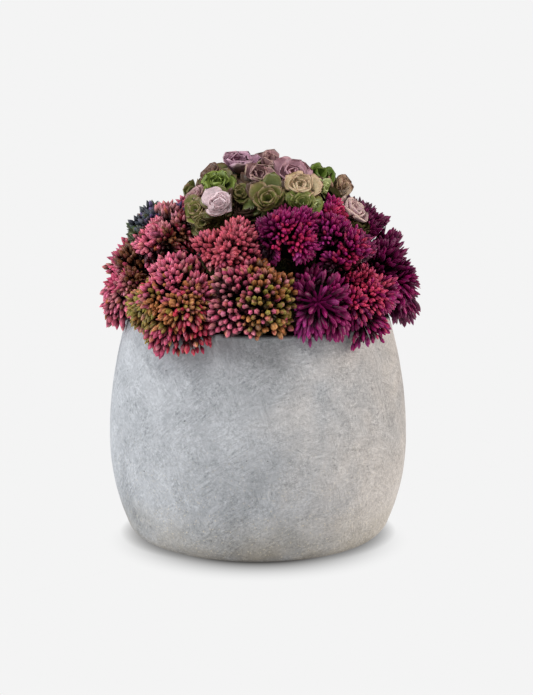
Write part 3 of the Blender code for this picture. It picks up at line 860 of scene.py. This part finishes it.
def bud_shape(style):
    """One bud of unit length and radius, with the height, seam and angle of each vertex."""
    spec, angle = BUDS[style], around(BUD_SIDES)
    lobe = np.cos(5 * angle)
    rings, heights = [], []
    for t, r in spec["outline"]:
        reach = r * (1 + spec["lobes"] * lobe * min(1.0, 0.35 + t))
        rings.append(np.stack([reach * np.cos(angle), reach * np.sin(angle), np.full(BUD_SIDES, t)], -1))
        heights.append(np.full(BUD_SIDES, t))
    count = len(rings)
    return Bud(np.concatenate(rings + [np.array([[0, 0, -0.02], [0, 0, 1.01]])]),
               closed_faces(count, BUD_SIDES), np.concatenate(heights + [[0.0, 1.0]]),
               np.concatenate([np.tile((1 - lobe) / 2, count), [0.5, 0.0]]),
               np.concatenate([np.tile(angle, count), [0.0, 0.0]]))


SHAPES = {style: bud_shape(style) for style in BUDS}


def head_of(row):
    """A pick's head in metres, and the planes that bound it."""
    name, azimuth, elevation, reach, radius, _, hang, style, zones = row
    aim = direction(azimuth, elevation)
    centre = STEM_ORIGIN + aim * reach / 1000
    return Head(name, centre, radius / 1000, aim, azimuth, hang / 1000, style, zones, wedge(name))


def repeat_faces(faces, count, per):
    """The same faces for each of count shapes of per vertices."""
    step = (np.arange(count) * per)[:, None, None]
    return [(f[None] + step).reshape(-1, f.shape[1]) for f in faces]


def add_buds(parts, head, base, axis, length, radius, colour, second, rng):
    """Place buds: base points, unit axes, sizes and two paints for each."""
    bud = SHAPES[head.style]
    n = len(base)
    x, y = side_axes(axis)
    turn = rng.uniform(0, math.tau, n)[:, None]
    x, y = np.cos(turn) * x + np.sin(turn) * y, np.cos(turn) * y - np.sin(turn) * x
    flat = BUDS[head.style]["flat"] * rng.uniform(0.9, 1.1, n)
    local = bud.verts[None] * np.stack([radius, radius * flat, length], -1)[:, None]
    bend = rng.normal(0, 0.07, n) * length
    local[..., 0] += bend[:, None] * bud.height**2
    world = base[:, None] + local[..., :1] * x[:, None] + local[..., 1:2] * y[:, None]
    world += local[..., 2:] * axis[:, None]
    world = press_off_pot(press_into_wedge(world.reshape(-1, 3), head.normals))
    faces = repeat_faces(bud.faces, n, len(bud.verts))
    parts.add(world, faces, bud_paint(head.style, colour, second, rng).reshape(-1, 3))


def bud_paint(style, colour, second, rng):
    """Paint at each vertex: painted shade at the foot (partly a darker calyx) and in the seams, a second colour on
    one side, a painted highlight at the tip.
    """
    bud, foot, n = SHAPES[style], BUDS[style]["foot"], len(colour)
    # painted shade: darker towards the foot, mostly shade between crowded buds and partly a darker calyx; darker
    # in the seams between lobes; brighter towards the top
    rise = np.clip((bud.height - 0.06) / 0.74, 0, 1) ** 1.9
    body = (foot + (1.22 - foot) * rise) * (1 - 0.50 * bud.seam * (0.4 + 0.6 * bud.height))
    side = np.clip(0.3 + 0.9 * np.cos(bud.angle[None] - rng.uniform(0, math.tau, (n, 1))), 0, 1)
    share = 0.9 * rng.uniform(0, 1, (n, 1)) ** 1.4 * side * np.clip(1.7 * bud.height, 0, 1)
    share = share[..., None]
    tint = (colour[:, None] * (1 - share) + second[:, None] * share) * body[None, :, None]
    # painted highlight: the tip paler and brighter
    pale = np.clip((bud.height - 0.70) / 0.30, 0, 1)[None, :, None] * 0.22
    return tint * (1 - pale) + pale * (1.25 * colour[:, None] + np.array((0.05, 0.03, 0.02)))


def cap_points(count, spread, rng, jitter=0.25):
    """Even directions about +Z out to the spread angle, a little disturbed."""
    k = np.arange(count) + 0.5
    cosine = 1 - (1 - math.cos(spread)) * k / count
    angle = k * GOLDEN + rng.uniform(0, math.tau)
    sine = np.sqrt(np.maximum(0, 1 - cosine**2))
    points = np.stack([sine * np.cos(angle), sine * np.sin(angle), cosine], -1)
    gap = math.sqrt(math.tau * (1 - math.cos(spread)) / count)
    return unit(points + rng.normal(0, jitter * gap, points.shape))


def zone_colours(head, points, rng):
    """Paint for each bud from the head's colour zones, with some buds out of place."""
    a = math.radians(head.azimuth)
    at_back = math.sin(a) > 0.3
    across = np.array((-math.sin(a), math.cos(a), 0.0) if at_back else (1.0, 0.0, 0.0))
    offset = (points - head.centre) / head.radius
    u, v = offset @ across, offset[:, 2]
    places = np.array([(x, z) for x, z, _ in head.zones])
    paints = np.array([paint for _, _, paint in head.zones])
    gap = (u[:, None] - places[:, 0]) ** 2 + (v[:, None] - places[:, 1]) ** 2
    gap += rng.gumbel(0, 0.10, gap.shape)
    chosen = paints[gap.argmin(1)]
    other = paints[rng.integers(0, len(paints), len(points))]
    stray = (rng.uniform(0, 1, len(points)) < 0.14)[:, None]
    colour = np.where(stray, other, chosen)
    colour = colour * rng.normal(1.0, 0.16, (len(points), 1)).clip(0.6, 1.5)
    return colour * rng.normal(1.0, 0.06, colour.shape).clip(0.8, 1.25)


def lay_buds(head, count, depth, rng):
    """Tips, axes and clump of each bud over a head, and how far it is from its clump's middle."""
    spec, turn = BUDS[head.style], turn_to(head.aim)
    clumps = max(4, round(spec["clumps"] * head.radius / HEAD_RADIUS))
    shared = np.random.default_rng(sum(map(ord, head.name)))  # the same lumps for both layers
    middles = cap_points(clumps, LUMP_SPREAD, shared, jitter=0.22)
    swell = shared.normal(1.0, 0.075, clumps)
    shape_seed = Vector(shared.uniform(0, 50, 3))
    local = cap_points(count, BUD_SPREAD, rng)
    nearness = local @ middles.T
    mine = nearness.argmax(1)
    angle = np.arccos(np.clip(nearness.max(1), -1, 1))
    size = math.sqrt(2 * (1 - math.cos(LUMP_COVER)) / clumps) * LUMP_OVERLAP
    sink = spec["depth"] * np.clip(angle / size, 0, 1.25) ** 2
    swing = np.array([noise.noise(Vector(p) * 1.8 + shape_seed) for p in local]) * 0.16
    up = (local @ turn)[:, 2]
    low = head.hang > LOW_HANG
    rho = head.radius * depth * np.maximum(1 - sink + swing, LEAST_REACH) * swell[mine]
    rho = rho * (1 + SAG[low] * np.clip(-up, 0, 1)) * rng.normal(1.0, 0.035, count)
    axis = unit(local + spec["lean"] * (local - middles[mine]) + rng.normal(0, 0.09, local.shape))
    tips = local * rho[:, None] * (1, 1, 0.95)
    droop = np.clip(0.1 - up, 0, 1)[:, None] * DROOP[low]
    axis = unit(axis @ turn - droop * (0, 0, 1))
    return tips @ turn + head.centre, axis, middles @ turn, mine, angle / size


def kept_buds(head, tips, axis, length, aside):
    """Which buds stay: clear of the neighbours' wedges, the pot and what they may not hang below."""
    spec = BUDS[head.style]
    middle = tips - axis * length[:, None] * 0.45
    keep = past_wedge(middle, head.normals) < -INSIDE_WEDGE
    keep &= past_wedge(tips, head.normals) < spec["past"]
    over_wall = np.hypot(middle[:, 0], middle[:, 1]) - wall_radius(np.minimum(middle[:, 2], POT_HEIGHT))
    keep &= (middle[:, 2] > POT_HEIGHT + ABOVE_RIM) | (over_wall > OFF_WALL)
    ragged = RAGGED_HEIGHT * np.sin(np.arctan2(tips[:, 1], tips[:, 0]) * RAGGED_WAVES)
    rise = HANG_RISE.get(head.name, 0.0) * (tips[:, 0] - head.centre[0])
    keep &= tips[:, 2] > POT_HEIGHT - head.hang + ragged + rise
    if head.style == "star":
        off = unit(tips - (head.centre + STAR_FACE * 0.006))
        keep &= off @ STAR_FACE < math.cos(STAR_OPEN)
    return keep & (aside < spec["gap"])


def make_head(row, material, stalk_material, seed):
    """One sedum head: layers of buds, the inner one in painted shade, its stalks and branches, and a core painted
    near black as painted shade.
    """
    rng = np.random.default_rng(seed)
    head = head_of(row)
    spec = BUDS[head.style]
    whole = int(spec["count"] * (head.radius / HEAD_RADIUS) ** 2)
    parts, stalk = Parts(), Parts()
    for share, depth, shade in LAYERS:
        count = int(whole * share)
        tips, axis, middles, mine, aside = lay_buds(head, count, depth, rng)
        length = spec["length"] * rng.normal(1.0, 0.12, count).clip(0.7, 1.3)
        width = spec["radius"] * rng.normal(1.0, 0.14, count).clip(0.65, 1.35)
        k = kept_buds(head, tips, axis, length, aside)
        # the inner layer's buds are painted darker: painted shade deep in the head
        colour = zone_colours(head, tips, rng) * shade
        second = zone_colours(head, tips[rng.permutation(count)], rng) * shade
        base = (tips - axis * length[:, None])[k]
        clumps = head.centre + middles * head.radius * CLUMP_REACH
        add_buds(parts, head, base, axis[k], length[k], width[k], colour[k], second[k], rng)
        add_stalks(stalk, clumps[mine[k]] * 0.5 + base * 0.5, base, colour[k], head.normals)
    if head.style == "star":
        add_star(parts, stalk, head, rng)
    parts.build(head.name.replace("pick_", "buds_"), material, head.name, slot_of(head.name), head.name)
    add_branches(stalk, head, clumps)
    add_core(stalk, head, rng)
    stalk.build(head.name.replace("pick_", "stalk_"), stalk_material, head.name, "stem")


STAR_FACE = direction(-82, 14)  # where the open star looks
STAR_OPEN = math.radians(45)  # half angle of its opening
STAR_RINGS = ((5, 42, 0.0080), (8, 66, 0.0120), (9, 88, 0.0140))  # arms, tilt (degrees), length
STAR_ARM_RADII = np.linspace(0.0014, 0.0009, 6)
STAR_BUD_LENGTH, STAR_BUD_RADIUS = (0.0130, 0.0012), (0.0022, 0.0002)  # mean, spread


def add_star(parts, stalk, head, rng):
    """The open star at the middle of a loose head: thick arms, each ending in a long bud."""
    hub = head.centre + STAR_FACE * head.radius * 0.60
    x, y, _ = turn_to(STAR_FACE)
    ways, reach = [], []
    for ring, (count, tilt, out) in enumerate(STAR_RINGS):
        for k in range(count):
            a = math.tau * (k + 0.5 * ring) / count + rng.normal(0, 0.14)
            t = math.radians(tilt + rng.normal(0, 5))
            side = math.cos(a) * x + math.sin(a) * y
            ways.append(math.cos(t) * STAR_FACE + math.sin(t) * side)
            reach.append(out * rng.normal(1, 0.12))
    ways = unit(np.array(ways))
    ends = hub + ways * np.array(reach)[:, None]
    for way, end in zip(ways, ends):
        path = bezier(hub - STAR_FACE * 0.004, hub + way * 0.003 + STAR_FACE * 0.001, end + way * 0.001, 6)
        add_tube(stalk, path, STAR_ARM_RADII, 6, PLUM * 0.9, head.normals, 0.001)
    count = len(ways)
    length = rng.normal(*STAR_BUD_LENGTH, count)
    width = rng.normal(*STAR_BUD_RADIUS, count)
    paint = np.where(rng.uniform(0, 1, (count, 1)) < 0.25, ORCHID, MAGENTA)
    paint = paint * rng.normal(0.85, 0.15, (count, 1))
    k = past_wedge(ends + ways * length[:, None] * 0.5, head.normals) < -0.001
    add_buds(parts, head, ends[k], ways[k], length[k], width[k], paint[k], paint[k] * 0.6, rng)


def add_branches(parts, head, clumps):
    """Main stem out of the foam along its pull, then a branch to each clump."""
    pull = PULL[head.name]
    knot = head.centre - head.aim * KNOT_DEPTH * head.radius
    leave = STEM_ORIGIN + pull * (STEM_TIP + STRAIGHT_STEM)
    straight = np.linspace(STEM_ORIGIN + pull * STEM_TIP, leave, 8)
    bent = bezier(leave, leave + pull * 0.3 * np.linalg.norm(knot - leave), knot, 7)[1:]
    verts, faces = tube(np.concatenate([straight, bent]), STEM_RADII, 8)
    parts.add(verts, faces, STEM_GREEN)
    for clump in clumps:
        path = bezier(knot, (knot + clump) / 2 + head.aim * 0.10 * head.radius, clump, 7)
        add_tube(parts, path, BRANCH_RADII, 5, BRANCH_BROWN, head.normals, BRANCH_CLEAR)


def add_stalks(parts, start, end, colour, normals):
    """Thin three-sided stalks under the buds, painted nearly black as painted shade."""
    sides = 3
    way = unit(end - start)
    x, y = side_axes(way)
    angle = around(sides)
    ring = np.cos(angle)[None, :, None] * x[:, None] + np.sin(angle)[None, :, None] * y[:, None]
    low = start[:, None] + ring * STALK_RADII[0]
    high = (end + way * 0.0006)[:, None] + ring * STALK_RADII[1]
    verts = np.concatenate([low, high], 1).reshape(-1, 3)
    verts = press_off_pot(press_into_wedge(verts, normals))
    one = [ring_faces(2, sides), np.array([[2, 1, 0], [3, 4, 5]])]
    # painted shade: the stalks under the buds painted nearly black
    tint = np.repeat(colour * 0.10 + STALK_BROWN * 0.10, sides * 2, axis=0)
    parts.add(verts, repeat_faces(one, len(start), sides * 2), tint)


def add_core(parts, head, rng):
    """The inside of a head: dense small leaves and stalks seen as one lumpy mass, painted near black as painted
    shade.
    """
    sides, rings = 40, 18
    x, y = side_axes(head.aim[None])
    angle = around(sides)
    polar = np.radians(np.linspace(4, 176, rings))
    ring = np.cos(angle)[:, None] * x + np.sin(angle)[:, None] * y
    out = np.sin(polar)[:, None, None] * ring[None] + np.cos(polar)[:, None, None] * head.aim
    narrow = 0.46 - 0.10 * (np.degrees(polar) - 100) / 76
    size = head.radius * np.where(polar < math.radians(100), 0.46, narrow)
    seed = Vector(rng.uniform(0, 50, 3))
    lumps = [noise.noise(Vector(p) * 4.0 + seed) for p in out.reshape(-1, 3)]
    lumps = np.array(lumps).reshape(rings, sides)
    verts = head.centre + out * (size[:, None] * (1 + 0.14 * lumps))[..., None]
    ends = [[head.centre + head.aim * size[0]], [head.centre - head.aim * size[-1]]]
    verts = press_into_wedge(np.concatenate([verts.reshape(-1, 3)] + ends), head.normals, 0.0012)
    parts.add(press_off_pot(verts), closed_faces(rings, sides), CORE_SHADE)


# ---------------------------------------------------------------- rosettes

LEAF_STEPS, LEAF_ACROSS = 9, 7

# Rosette styles: leaves; then for the outermost and the innermost leaf: length and half width
# in rosette radii, start and end pitch in degrees, cupping; then edge waves, thickness (m),
# how pointed a leaf is, how wide its root is, and how bright its base is painted (painted
# shade deep in the rosette)
ROSETTE_COLUMNS = "leaves out inn wave thick point root base".split()
ROSETTE_ROWS = {
    "spoon": (12, (1.0, 0.52, 8, 36, 0.30), (0.42, 0.28, 56, 84, 0.6), 0.05, 0.0020, 0.03, 0.30, 0.14),
    "wavy": (10, (1.0, 0.62, 14, 38, 0.24), (0.45, 0.34, 55, 82, 0.5), 0.14, 0.0018, 0.0, 0.30, 0.16),
    "rose": (11, (1.12, 0.72, 4, 46, 0.42), (0.50, 0.42, 60, 98, 0.9), 0.035, 0.0018, 0.02, 0.42, 0.48),
    "bloom": (10, (1.10, 0.58, 12, 42, 0.34), (0.50, 0.42, 52, 90, 0.8), 0.04, 0.0018, 0.02, 0.42, 0.60),
    "cup": (10, (1.08, 0.64, 26, 66, 0.45), (0.62, 0.40, 66, 96, 0.8), 0.08, 0.0015, 0.03, 0.38, 0.36),
    "round": (6, (1.15, 0.62, 32, 62, 0.22), (0.75, 0.50, 66, 86, 0.4), 0.02, 0.0022, 0.0, 0.28, 0.36),
    "fan": (12, (1.10, 0.56, 10, 38, 0.36), (0.50, 0.32, 58, 92, 0.7), 0.07, 0.0015, 0.04, 0.30, 0.40),
}
ROSETTES = {style: dict(zip(ROSETTE_COLUMNS, row)) for style, row in ROSETTE_ROWS.items()}
LEAF_FORM = ("wave", "thick", "point", "root")
COLLAR_FORM = dict(cup=0.3, wave=0.05, thick=0.0014, point=0.05, root=0.3)
SKIRT_FORM = dict(cup=0.3, wave=0.04, thick=0.0009, point=0.1, root=0.3)
COLLAR_COLOURS = (OLIVE_LEAF, DEEP_OLIVE, GREEN, BROWN_LEAF)
FILLER_COLOURS = (DEEP_OLIVE, OLIVE_LEAF, BROWN_LEAF)
COLLAR_LEAVES = 6
SKIRT_LEAVES = 7
FILLERS = 17  # in a spray of 14 degrees half angle
FILLER_SCALE = 1.05
ROSETTE_SWELL = 1.20  # real leaves reach past the plain cup that stands for them
ROSETTE_SEAT = 0.42  # how far a rosette's foot is behind its middle, in its radii
ARM_RADII = np.linspace(0.0016, 0.0012, 9)
ARM_CLEAR = 0.0016
FILLER_RADIUS, FILLER_REACH = (0.0145, 0.0180), (0.148, 0.160)
STUMP_RADII = np.array((0.0012, 0.0022, 0.0026, 0.0022, 0.001))


def leaf_faces():
    """Faces of a closed leaf: a top grid and an underside that share their outline."""
    rows, cols = LEAF_STEPS, LEAF_ACROSS
    top = np.arange(rows * cols).reshape(rows, cols)
    under = top.copy()
    inner = (rows - 2, cols - 2)
    under[1:-1, 1:-1] = rows * cols + np.arange(inner[0] * inner[1]).reshape(inner)
    top, under = (np.stack([g[:-1, :-1], g[:-1, 1:], g[1:, 1:], g[1:, :-1]], -1).reshape(-1, 4)
                  for g in (top, under))
    return np.concatenate([top, under[:, ::-1]])


LEAF_FACES = leaf_faces()


def both_sides(top, under):
    """Values at a leaf's vertices: its whole top, then the inside of its underside."""
    return np.concatenate([top.reshape(-1, *top.shape[2:]), under[1:-1, 1:-1].reshape(-1, *top.shape[2:])])


def make_leaf(length, half, pitch0, pitch1, rng, cup, wave, thick, point, root):
    """One leaf growing along +X from the origin, its top side up. Also u, |v| and side."""
    u = np.linspace(0, 1, LEAF_STEPS)
    v = np.linspace(-1, 1, LEAF_ACROSS)
    pitch = np.radians(pitch0 + (pitch1 - pitch0) * u**1.3)
    step = length / (LEAF_STEPS - 1)
    px = np.concatenate([[0], np.cumsum(np.cos(pitch[:-1]) * step)])
    pz = np.concatenate([[0], np.cumsum(np.sin(pitch[:-1]) * step)])
    grow = np.clip(u / 0.62, 0, 1)
    width = half * (root + (1 - root) * np.sin(grow * math.pi / 2) ** 1.2)
    fade = np.clip((u - 0.62) / 0.38, 0, 1)
    width = width * np.sqrt(np.maximum(0, 1 - fade**2)) + half * 0.02
    width *= 1 - point * fade
    phase = rng.uniform(0, 6.28)
    swing = np.sin(5.0 * u[:, None] * 2 + 3 * v[None] + phase)
    ripple = wave * half * swing * np.abs(v[None]) * u[:, None] * 2
    lift = cup * width[:, None] * v[None] ** 2 + ripple
    nx, nz = -np.sin(pitch)[:, None], np.cos(pitch)[:, None]
    tip_hook = point * half * 0.8 * np.clip((u - 0.85) / 0.15, 0, 1)
    x = px[:, None] + nx * lift + tip_hook[:, None]
    z = pz[:, None] + nz * lift
    y = width[:, None] * v[None] * (1 - 0.12 * cup * v[None] ** 2)
    body = thick * np.sqrt(np.maximum(0, 1 - v[None] ** 2)) * (1 - 0.55 * u[:, None]) + thick * 0.15
    verts = both_sides(np.stack([x + nx * body / 2, y, z + nz * body / 2], -1),
                       np.stack([x - nx * body / 2, y, z - nz * body / 2], -1))
    share, edge = np.broadcast_to(u[:, None], x.shape), np.broadcast_to(np.abs(v)[None], x.shape)
    side = both_sides(np.ones(x.shape), np.zeros(x.shape))
    return verts, both_sides(share, share), both_sides(edge, edge), side


def leaf_tint(colours, share, edge, side, style, rng):
    """Paint at each vertex of a leaf: painted shade at its base, pale rim, its own back with painted shade towards
    the root.
    """
    body, rim, back = (np.asarray(c) for c in colours)
    body = body * rng.normal(1, 0.15)
    flush = rng.uniform(0, 0.55) * share[:, None] ** 2
    body = body * (1 - flush) + rim * flush
    rimness = np.clip(np.maximum((edge - 0.55) / 0.45, (share - 0.82) / 0.18), 0, 1)[:, None] ** 1.3
    base = ROSETTES[style]["base"]
    # painted shade: darker towards the leaf's base, deep in the rosette
    tint = body * (base + (1.12 - base) * share[:, None] ** 0.9)
    if style == "fan":
        stripes = (0.5 + 0.5 * np.cos(edge * 9.5))[:, None]
        tint = tint * (1 - 0.45 * stripes) + 0.45 * stripes * rim * 0.8
    tint = tint * (1 - rimness) + rimness * rim
    # painted shade on the underside, darker towards the root
    under = back * (0.45 + 0.6 * share[:, None])
    return np.where(side[:, None] > 0.5, tint, under)


def add_leaf(parts, leaf, angle, turn, seat, normals, colours, style, rng):
    """Turn a leaf about its rosette's axis, set it in its place and paint it."""
    verts, *where = leaf
    world = press_into_wedge(spin(verts, angle) @ turn + seat, normals)
    parts.add(world, [LEAF_FACES], leaf_tint(colours, *where, style, rng))


def add_rosette(parts, centre, face, radius, style, colours, normals, rng, scale=1.0):
    """A rosette of leaves from the outermost in, a short stump, and a collar under it painted dark as painted
    shade.
    """
    spec, turn = ROSETTES[style], turn_to(face)
    seat = centre - face * radius * ROSETTE_SEAT
    form = {key: spec[key] for key in LEAF_FORM}
    for i in range(spec["leaves"]):
        f = (i / (spec["leaves"] - 1)) ** 0.85
        length, half, p0, p1, cup = (a + (b - a) * f for a, b in zip(spec["out"], spec["inn"]))
        jig = rng.normal(1, 0.06, 2)
        leaf = make_leaf(length * radius * jig[0] * scale, half * radius * jig[1] * scale,
                         p0 + rng.normal(0, 5), p1 + rng.normal(0, 7), rng, cup, **form)
        angle = i * GOLDEN + rng.normal(0, 0.10)
        leaf[0][:, 0] += radius * (0.10 - 0.06 * f)
        leaf[0][:, 2] += radius * 0.16 * f
        leaf[0][:, 1] += rng.normal(0, 0.04) * leaf[0][:, 0]
        inner = min(1.0, f * 1.8)
        shown = (colours[0], colours[1], colours[2] * (1 - inner) + colours[0] * inner)
        add_leaf(parts, leaf, angle, turn, seat, normals, shown, style, rng)
    for i in range(COLLAR_LEAVES if scale == 1.0 else 0):
        leaf = make_leaf(radius * rng.uniform(1.05, 1.35), radius * rng.uniform(0.34, 0.46),
                         rng.uniform(-18, 8), rng.uniform(10, 30), rng, **COLLAR_FORM)
        angle = (i + rng.uniform(0.2, 0.8)) * math.tau / COLLAR_LEAVES
        leaf[0][:, 2] -= radius * 0.12
        # collar painted dark: painted shade under the rosette
        shown = in_painted_shade(COLLAR_COLOURS[rng.integers(4)], 0.62)
        add_leaf(parts, leaf, angle, turn, seat, normals, shown, "spoon", rng)
    base = bezier(seat - face * radius * 0.16, seat, seat + face * radius * 0.22, 5)
    verts, faces = tube(base, STUMP_RADII, 8)
    parts.add(press_into_wedge(verts, normals), faces, colours[2] * 0.6)


def in_painted_shade(colours, light):
    """A leaf's colours, all darker by the same share: painted shade."""
    return tuple(np.asarray(c) * light for c in colours)


def make_spray(name, leaf_materials, stem_material, seed):
    """One spray: a forked stem, its rosettes as pieces of their own, and small fillers painted dark as painted
    shade.
    """
    rng = np.random.default_rng(seed)
    aim, normals = STEMS[name][0], wedge(name)
    stalk = Parts()
    stem = np.linspace(STEM_ORIGIN + aim * STEM_TIP, STEM_ORIGIN + aim * FORK, 14)
    verts, faces = tube(stem, STEM_RADII, 8)
    stalk.add(verts, faces, SPRAY_GREEN)
    fork = STEM_ORIGIN + aim * (FORK - 0.004)
    for i, (az, el, reach, radius, style, colours, face) in enumerate(SPRAYS[name][3], 1):
        radius *= ROSETTE_SWELL / 1000
        centre = STEM_ORIGIN + direction(az, el) * reach / 1000
        look = direction(*face)
        node = f"{name}_rosette_{i}"
        parts = Parts()
        add_rosette(parts, centre, look, radius, style, colours, normals, rng)
        piece = node.replace("spray_", "rosette_").replace("_rosette_", "_")
        parts.build(piece, leaf_materials[slot_of(node)], name, slot_of(node), node)
        seat = centre - look * radius * 0.55
        path = bezier(fork, fork * 0.45 + seat * 0.55 + aim * 0.004, seat, 9)
        add_tube(stalk, path, ARM_RADII, 6, ARM_GREEN, normals, ARM_CLEAR)
        add_skirt(stalk, path, colours, radius, normals, rng)
    stalk.build(name.replace("spray_", "twig_"), stem_material, name, "stem", f"{name}_stem")
    add_fillers(name, aim, normals, stem_material, rng)


def add_fillers(name, aim, normals, material, rng):
    """Small rosettes low in a spray, which close the gaps between the large ones, painted dark as painted shade.
    """
    width = SPRAYS[name][2]
    parts = Parts()
    start = STEM_ORIGIN + aim * (FORK - 0.03)
    count = max(4, round(FILLERS * (width / 14) ** 2))
    ways = cap_points(count, math.radians(width * 1.15), rng, jitter=0.15) @ turn_to(aim)
    for k, way in enumerate(ways):
        radius = rng.uniform(*FILLER_RADIUS)
        centre = STEM_ORIGIN + way * rng.uniform(*FILLER_REACH)
        if past_wedge(centre, normals) > -0.003:
            continue
        # fillers painted dark: painted shade low between the large rosettes
        light = 0.26 + 0.56 * min(1.0, max(0.0, (way[2] - 0.93) / 0.05))  # lighter near the top
        face = unit(way + rng.normal(0, 0.15, 3))
        colours = in_painted_shade(FILLER_COLOURS[k % 3], light)
        add_rosette(parts, centre, face, radius, "spoon", colours, normals, rng, FILLER_SCALE)
        path = bezier(start, centre * 0.5 + start * 0.5 + aim * 0.004, centre - way * radius * 0.5, 6)
        add_tube(parts, path, 0.0011, 5, FILLER_GREEN, normals, ARM_CLEAR)
    parts.build(name.replace("spray_", "under_"), material, name, "stem")


def add_skirt(parts, path, colours, radius, normals, rng):
    """Small leaves along an arm under its rosette, painted dark as painted shade."""
    turn = turn_to(unit(path[-1] - path[0]))
    # skirt painted dark: painted shade under the rosette
    dark = in_painted_shade(colours, 0.55)
    for k in range(SKIRT_LEAVES):
        place = path[int((0.35 + 0.6 * k / 6) * (len(path) - 1))]
        leaf = make_leaf(radius * rng.uniform(0.42, 0.62), radius * rng.uniform(0.18, 0.26), 20, 50, rng,
                         **SKIRT_FORM)
        add_leaf(parts, leaf, k * GOLDEN, turn, place, normals, dark, "spoon", rng)


# ---------------------------------------------------------------- moss


MOSS_THICK = 0.0038
MOSS_LUMPS = ((70, 0.0013), (240, 0.0007))  # waves per metre, height
TUFTS = 2600
TUFT_WIDTH = 0.00035


def moss_dome(sides, polar, thick=0.0):
    """Rings of the dome at angles from its top, lower and narrower by the thickness."""
    angle = around(sides)
    circle = np.stack([np.cos(angle), np.sin(angle)], -1)
    rings = np.empty((len(polar), sides, 3))
    for ring, p in zip(rings, polar):
        ring[:, :2] = circle * (MOSS_RADIUS - thick) * math.sin(p)
        ring[:, 2] = MOSS_FOOT + (MOSS_HEIGHT - thick) * math.cos(p)
    return rings.reshape(-1, 3)


def make_moss(material):
    """A thin, lumpy moss dome with short tufts, over the foam."""
    rng = np.random.default_rng(77)
    sides, rings, inner_rings = 160, 46, 8
    outer = moss_dome(sides, np.linspace(math.pi / 2, 0.02, rings))
    out = unit((outer - (0, 0, MOSS_FOOT)) / np.array((MOSS_RADIUS, MOSS_RADIUS, MOSS_HEIGHT)) ** 2)
    lump = np.array([sum(noise.noise(Vector(p) * s) * a for s, a in MOSS_LUMPS) for p in outer])
    lump[:sides] = np.minimum(lump[:sides], 0)
    outer += out * lump[:, None]
    inner = moss_dome(sides, np.linspace(0.05, math.pi / 2, inner_rings), MOSS_THICK)
    top = MOSS_FOOT + MOSS_HEIGHT
    verts = np.concatenate([outer, [[0, 0, top]], inner, [[0, 0, top - MOSS_THICK]]])
    n = rings * sides
    faces = [ring_faces(rings, sides), fan_faces(n - sides, n, sides),
             ring_faces(inner_rings, sides) + n + 1, fan_faces(n + 1, len(verts) - 1, sides, flip=True)]
    last = n + 1 + (inner_rings - 1) * sides
    s = np.arange(sides)
    nxt = (s + 1) % sides
    faces.append(np.stack([last + s, last + nxt, nxt, s], -1))
    parts = Parts()
    parts.add(verts, faces, (1, 1, 1))
    add_tufts(parts, outer[2 * sides:], out[2 * sides:], rng)
    parts.build("moss_top", material, "insert", "moss", "moss_cover")


def add_tufts(parts, places, out, rng):
    """Short bent blades standing in the moss."""
    pick = rng.choice(len(places), TUFTS, replace=False)
    start, way = places[pick], unit(out[pick] + rng.normal(0, 0.45, (len(pick), 3)))
    x, y = side_axes(way)
    size = rng.uniform(0.0012, 0.0030, len(pick))[:, None]
    root = start - way * 0.0006
    corners = [root + x * TUFT_WIDTH] + [
        root - 0.5 * x * TUFT_WIDTH + side * 0.87 * y * TUFT_WIDTH for side in (1, -1)]
    tip = start + way * size + x * size * 0.3
    verts = np.stack(corners + [tip], 1).reshape(-1, 3)
    one = [np.array([[0, 1, 3], [1, 2, 3], [2, 0, 3], [2, 1, 0]])]
    parts.add(verts, repeat_faces(one, len(pick), 4), (1, 1, 1))


# ---------------------------------------------------------------- build


def main():
    """Stage the picture, then make every piece."""
    stage_camera()
    stage_light()
    stage_floor()
    make_pot(cement_material())
    stalks = petal_material("stem", 0.75, 0.3, 0.5, gloss=0.06)
    slots = [m["slot"] for m in frame["record"]["materials"]]
    buds = {s: petal_material(s, 0.34, gloss=0.32) for s in slots if s.endswith("_buds")}
    leaves = {s: petal_material(s, 0.40, 0.14, 0.3, 700, gloss=0.4) for s in slots if s.endswith("_leaf")}
    for i, row in enumerate(PICKS):
        make_head(row, buds[slot_of(row[0])], stalks, 100 + i)
    for i, name in enumerate(SPRAYS):
        make_spray(name, leaves, stalks, 300 + i)
    make_moss(moss_material())
    for node, material in (("foam_block", foam_material()), ("drain_plug", rubber_material())):
        for place in frame["nodes"][node].material_slots:
            place.material = material


main()
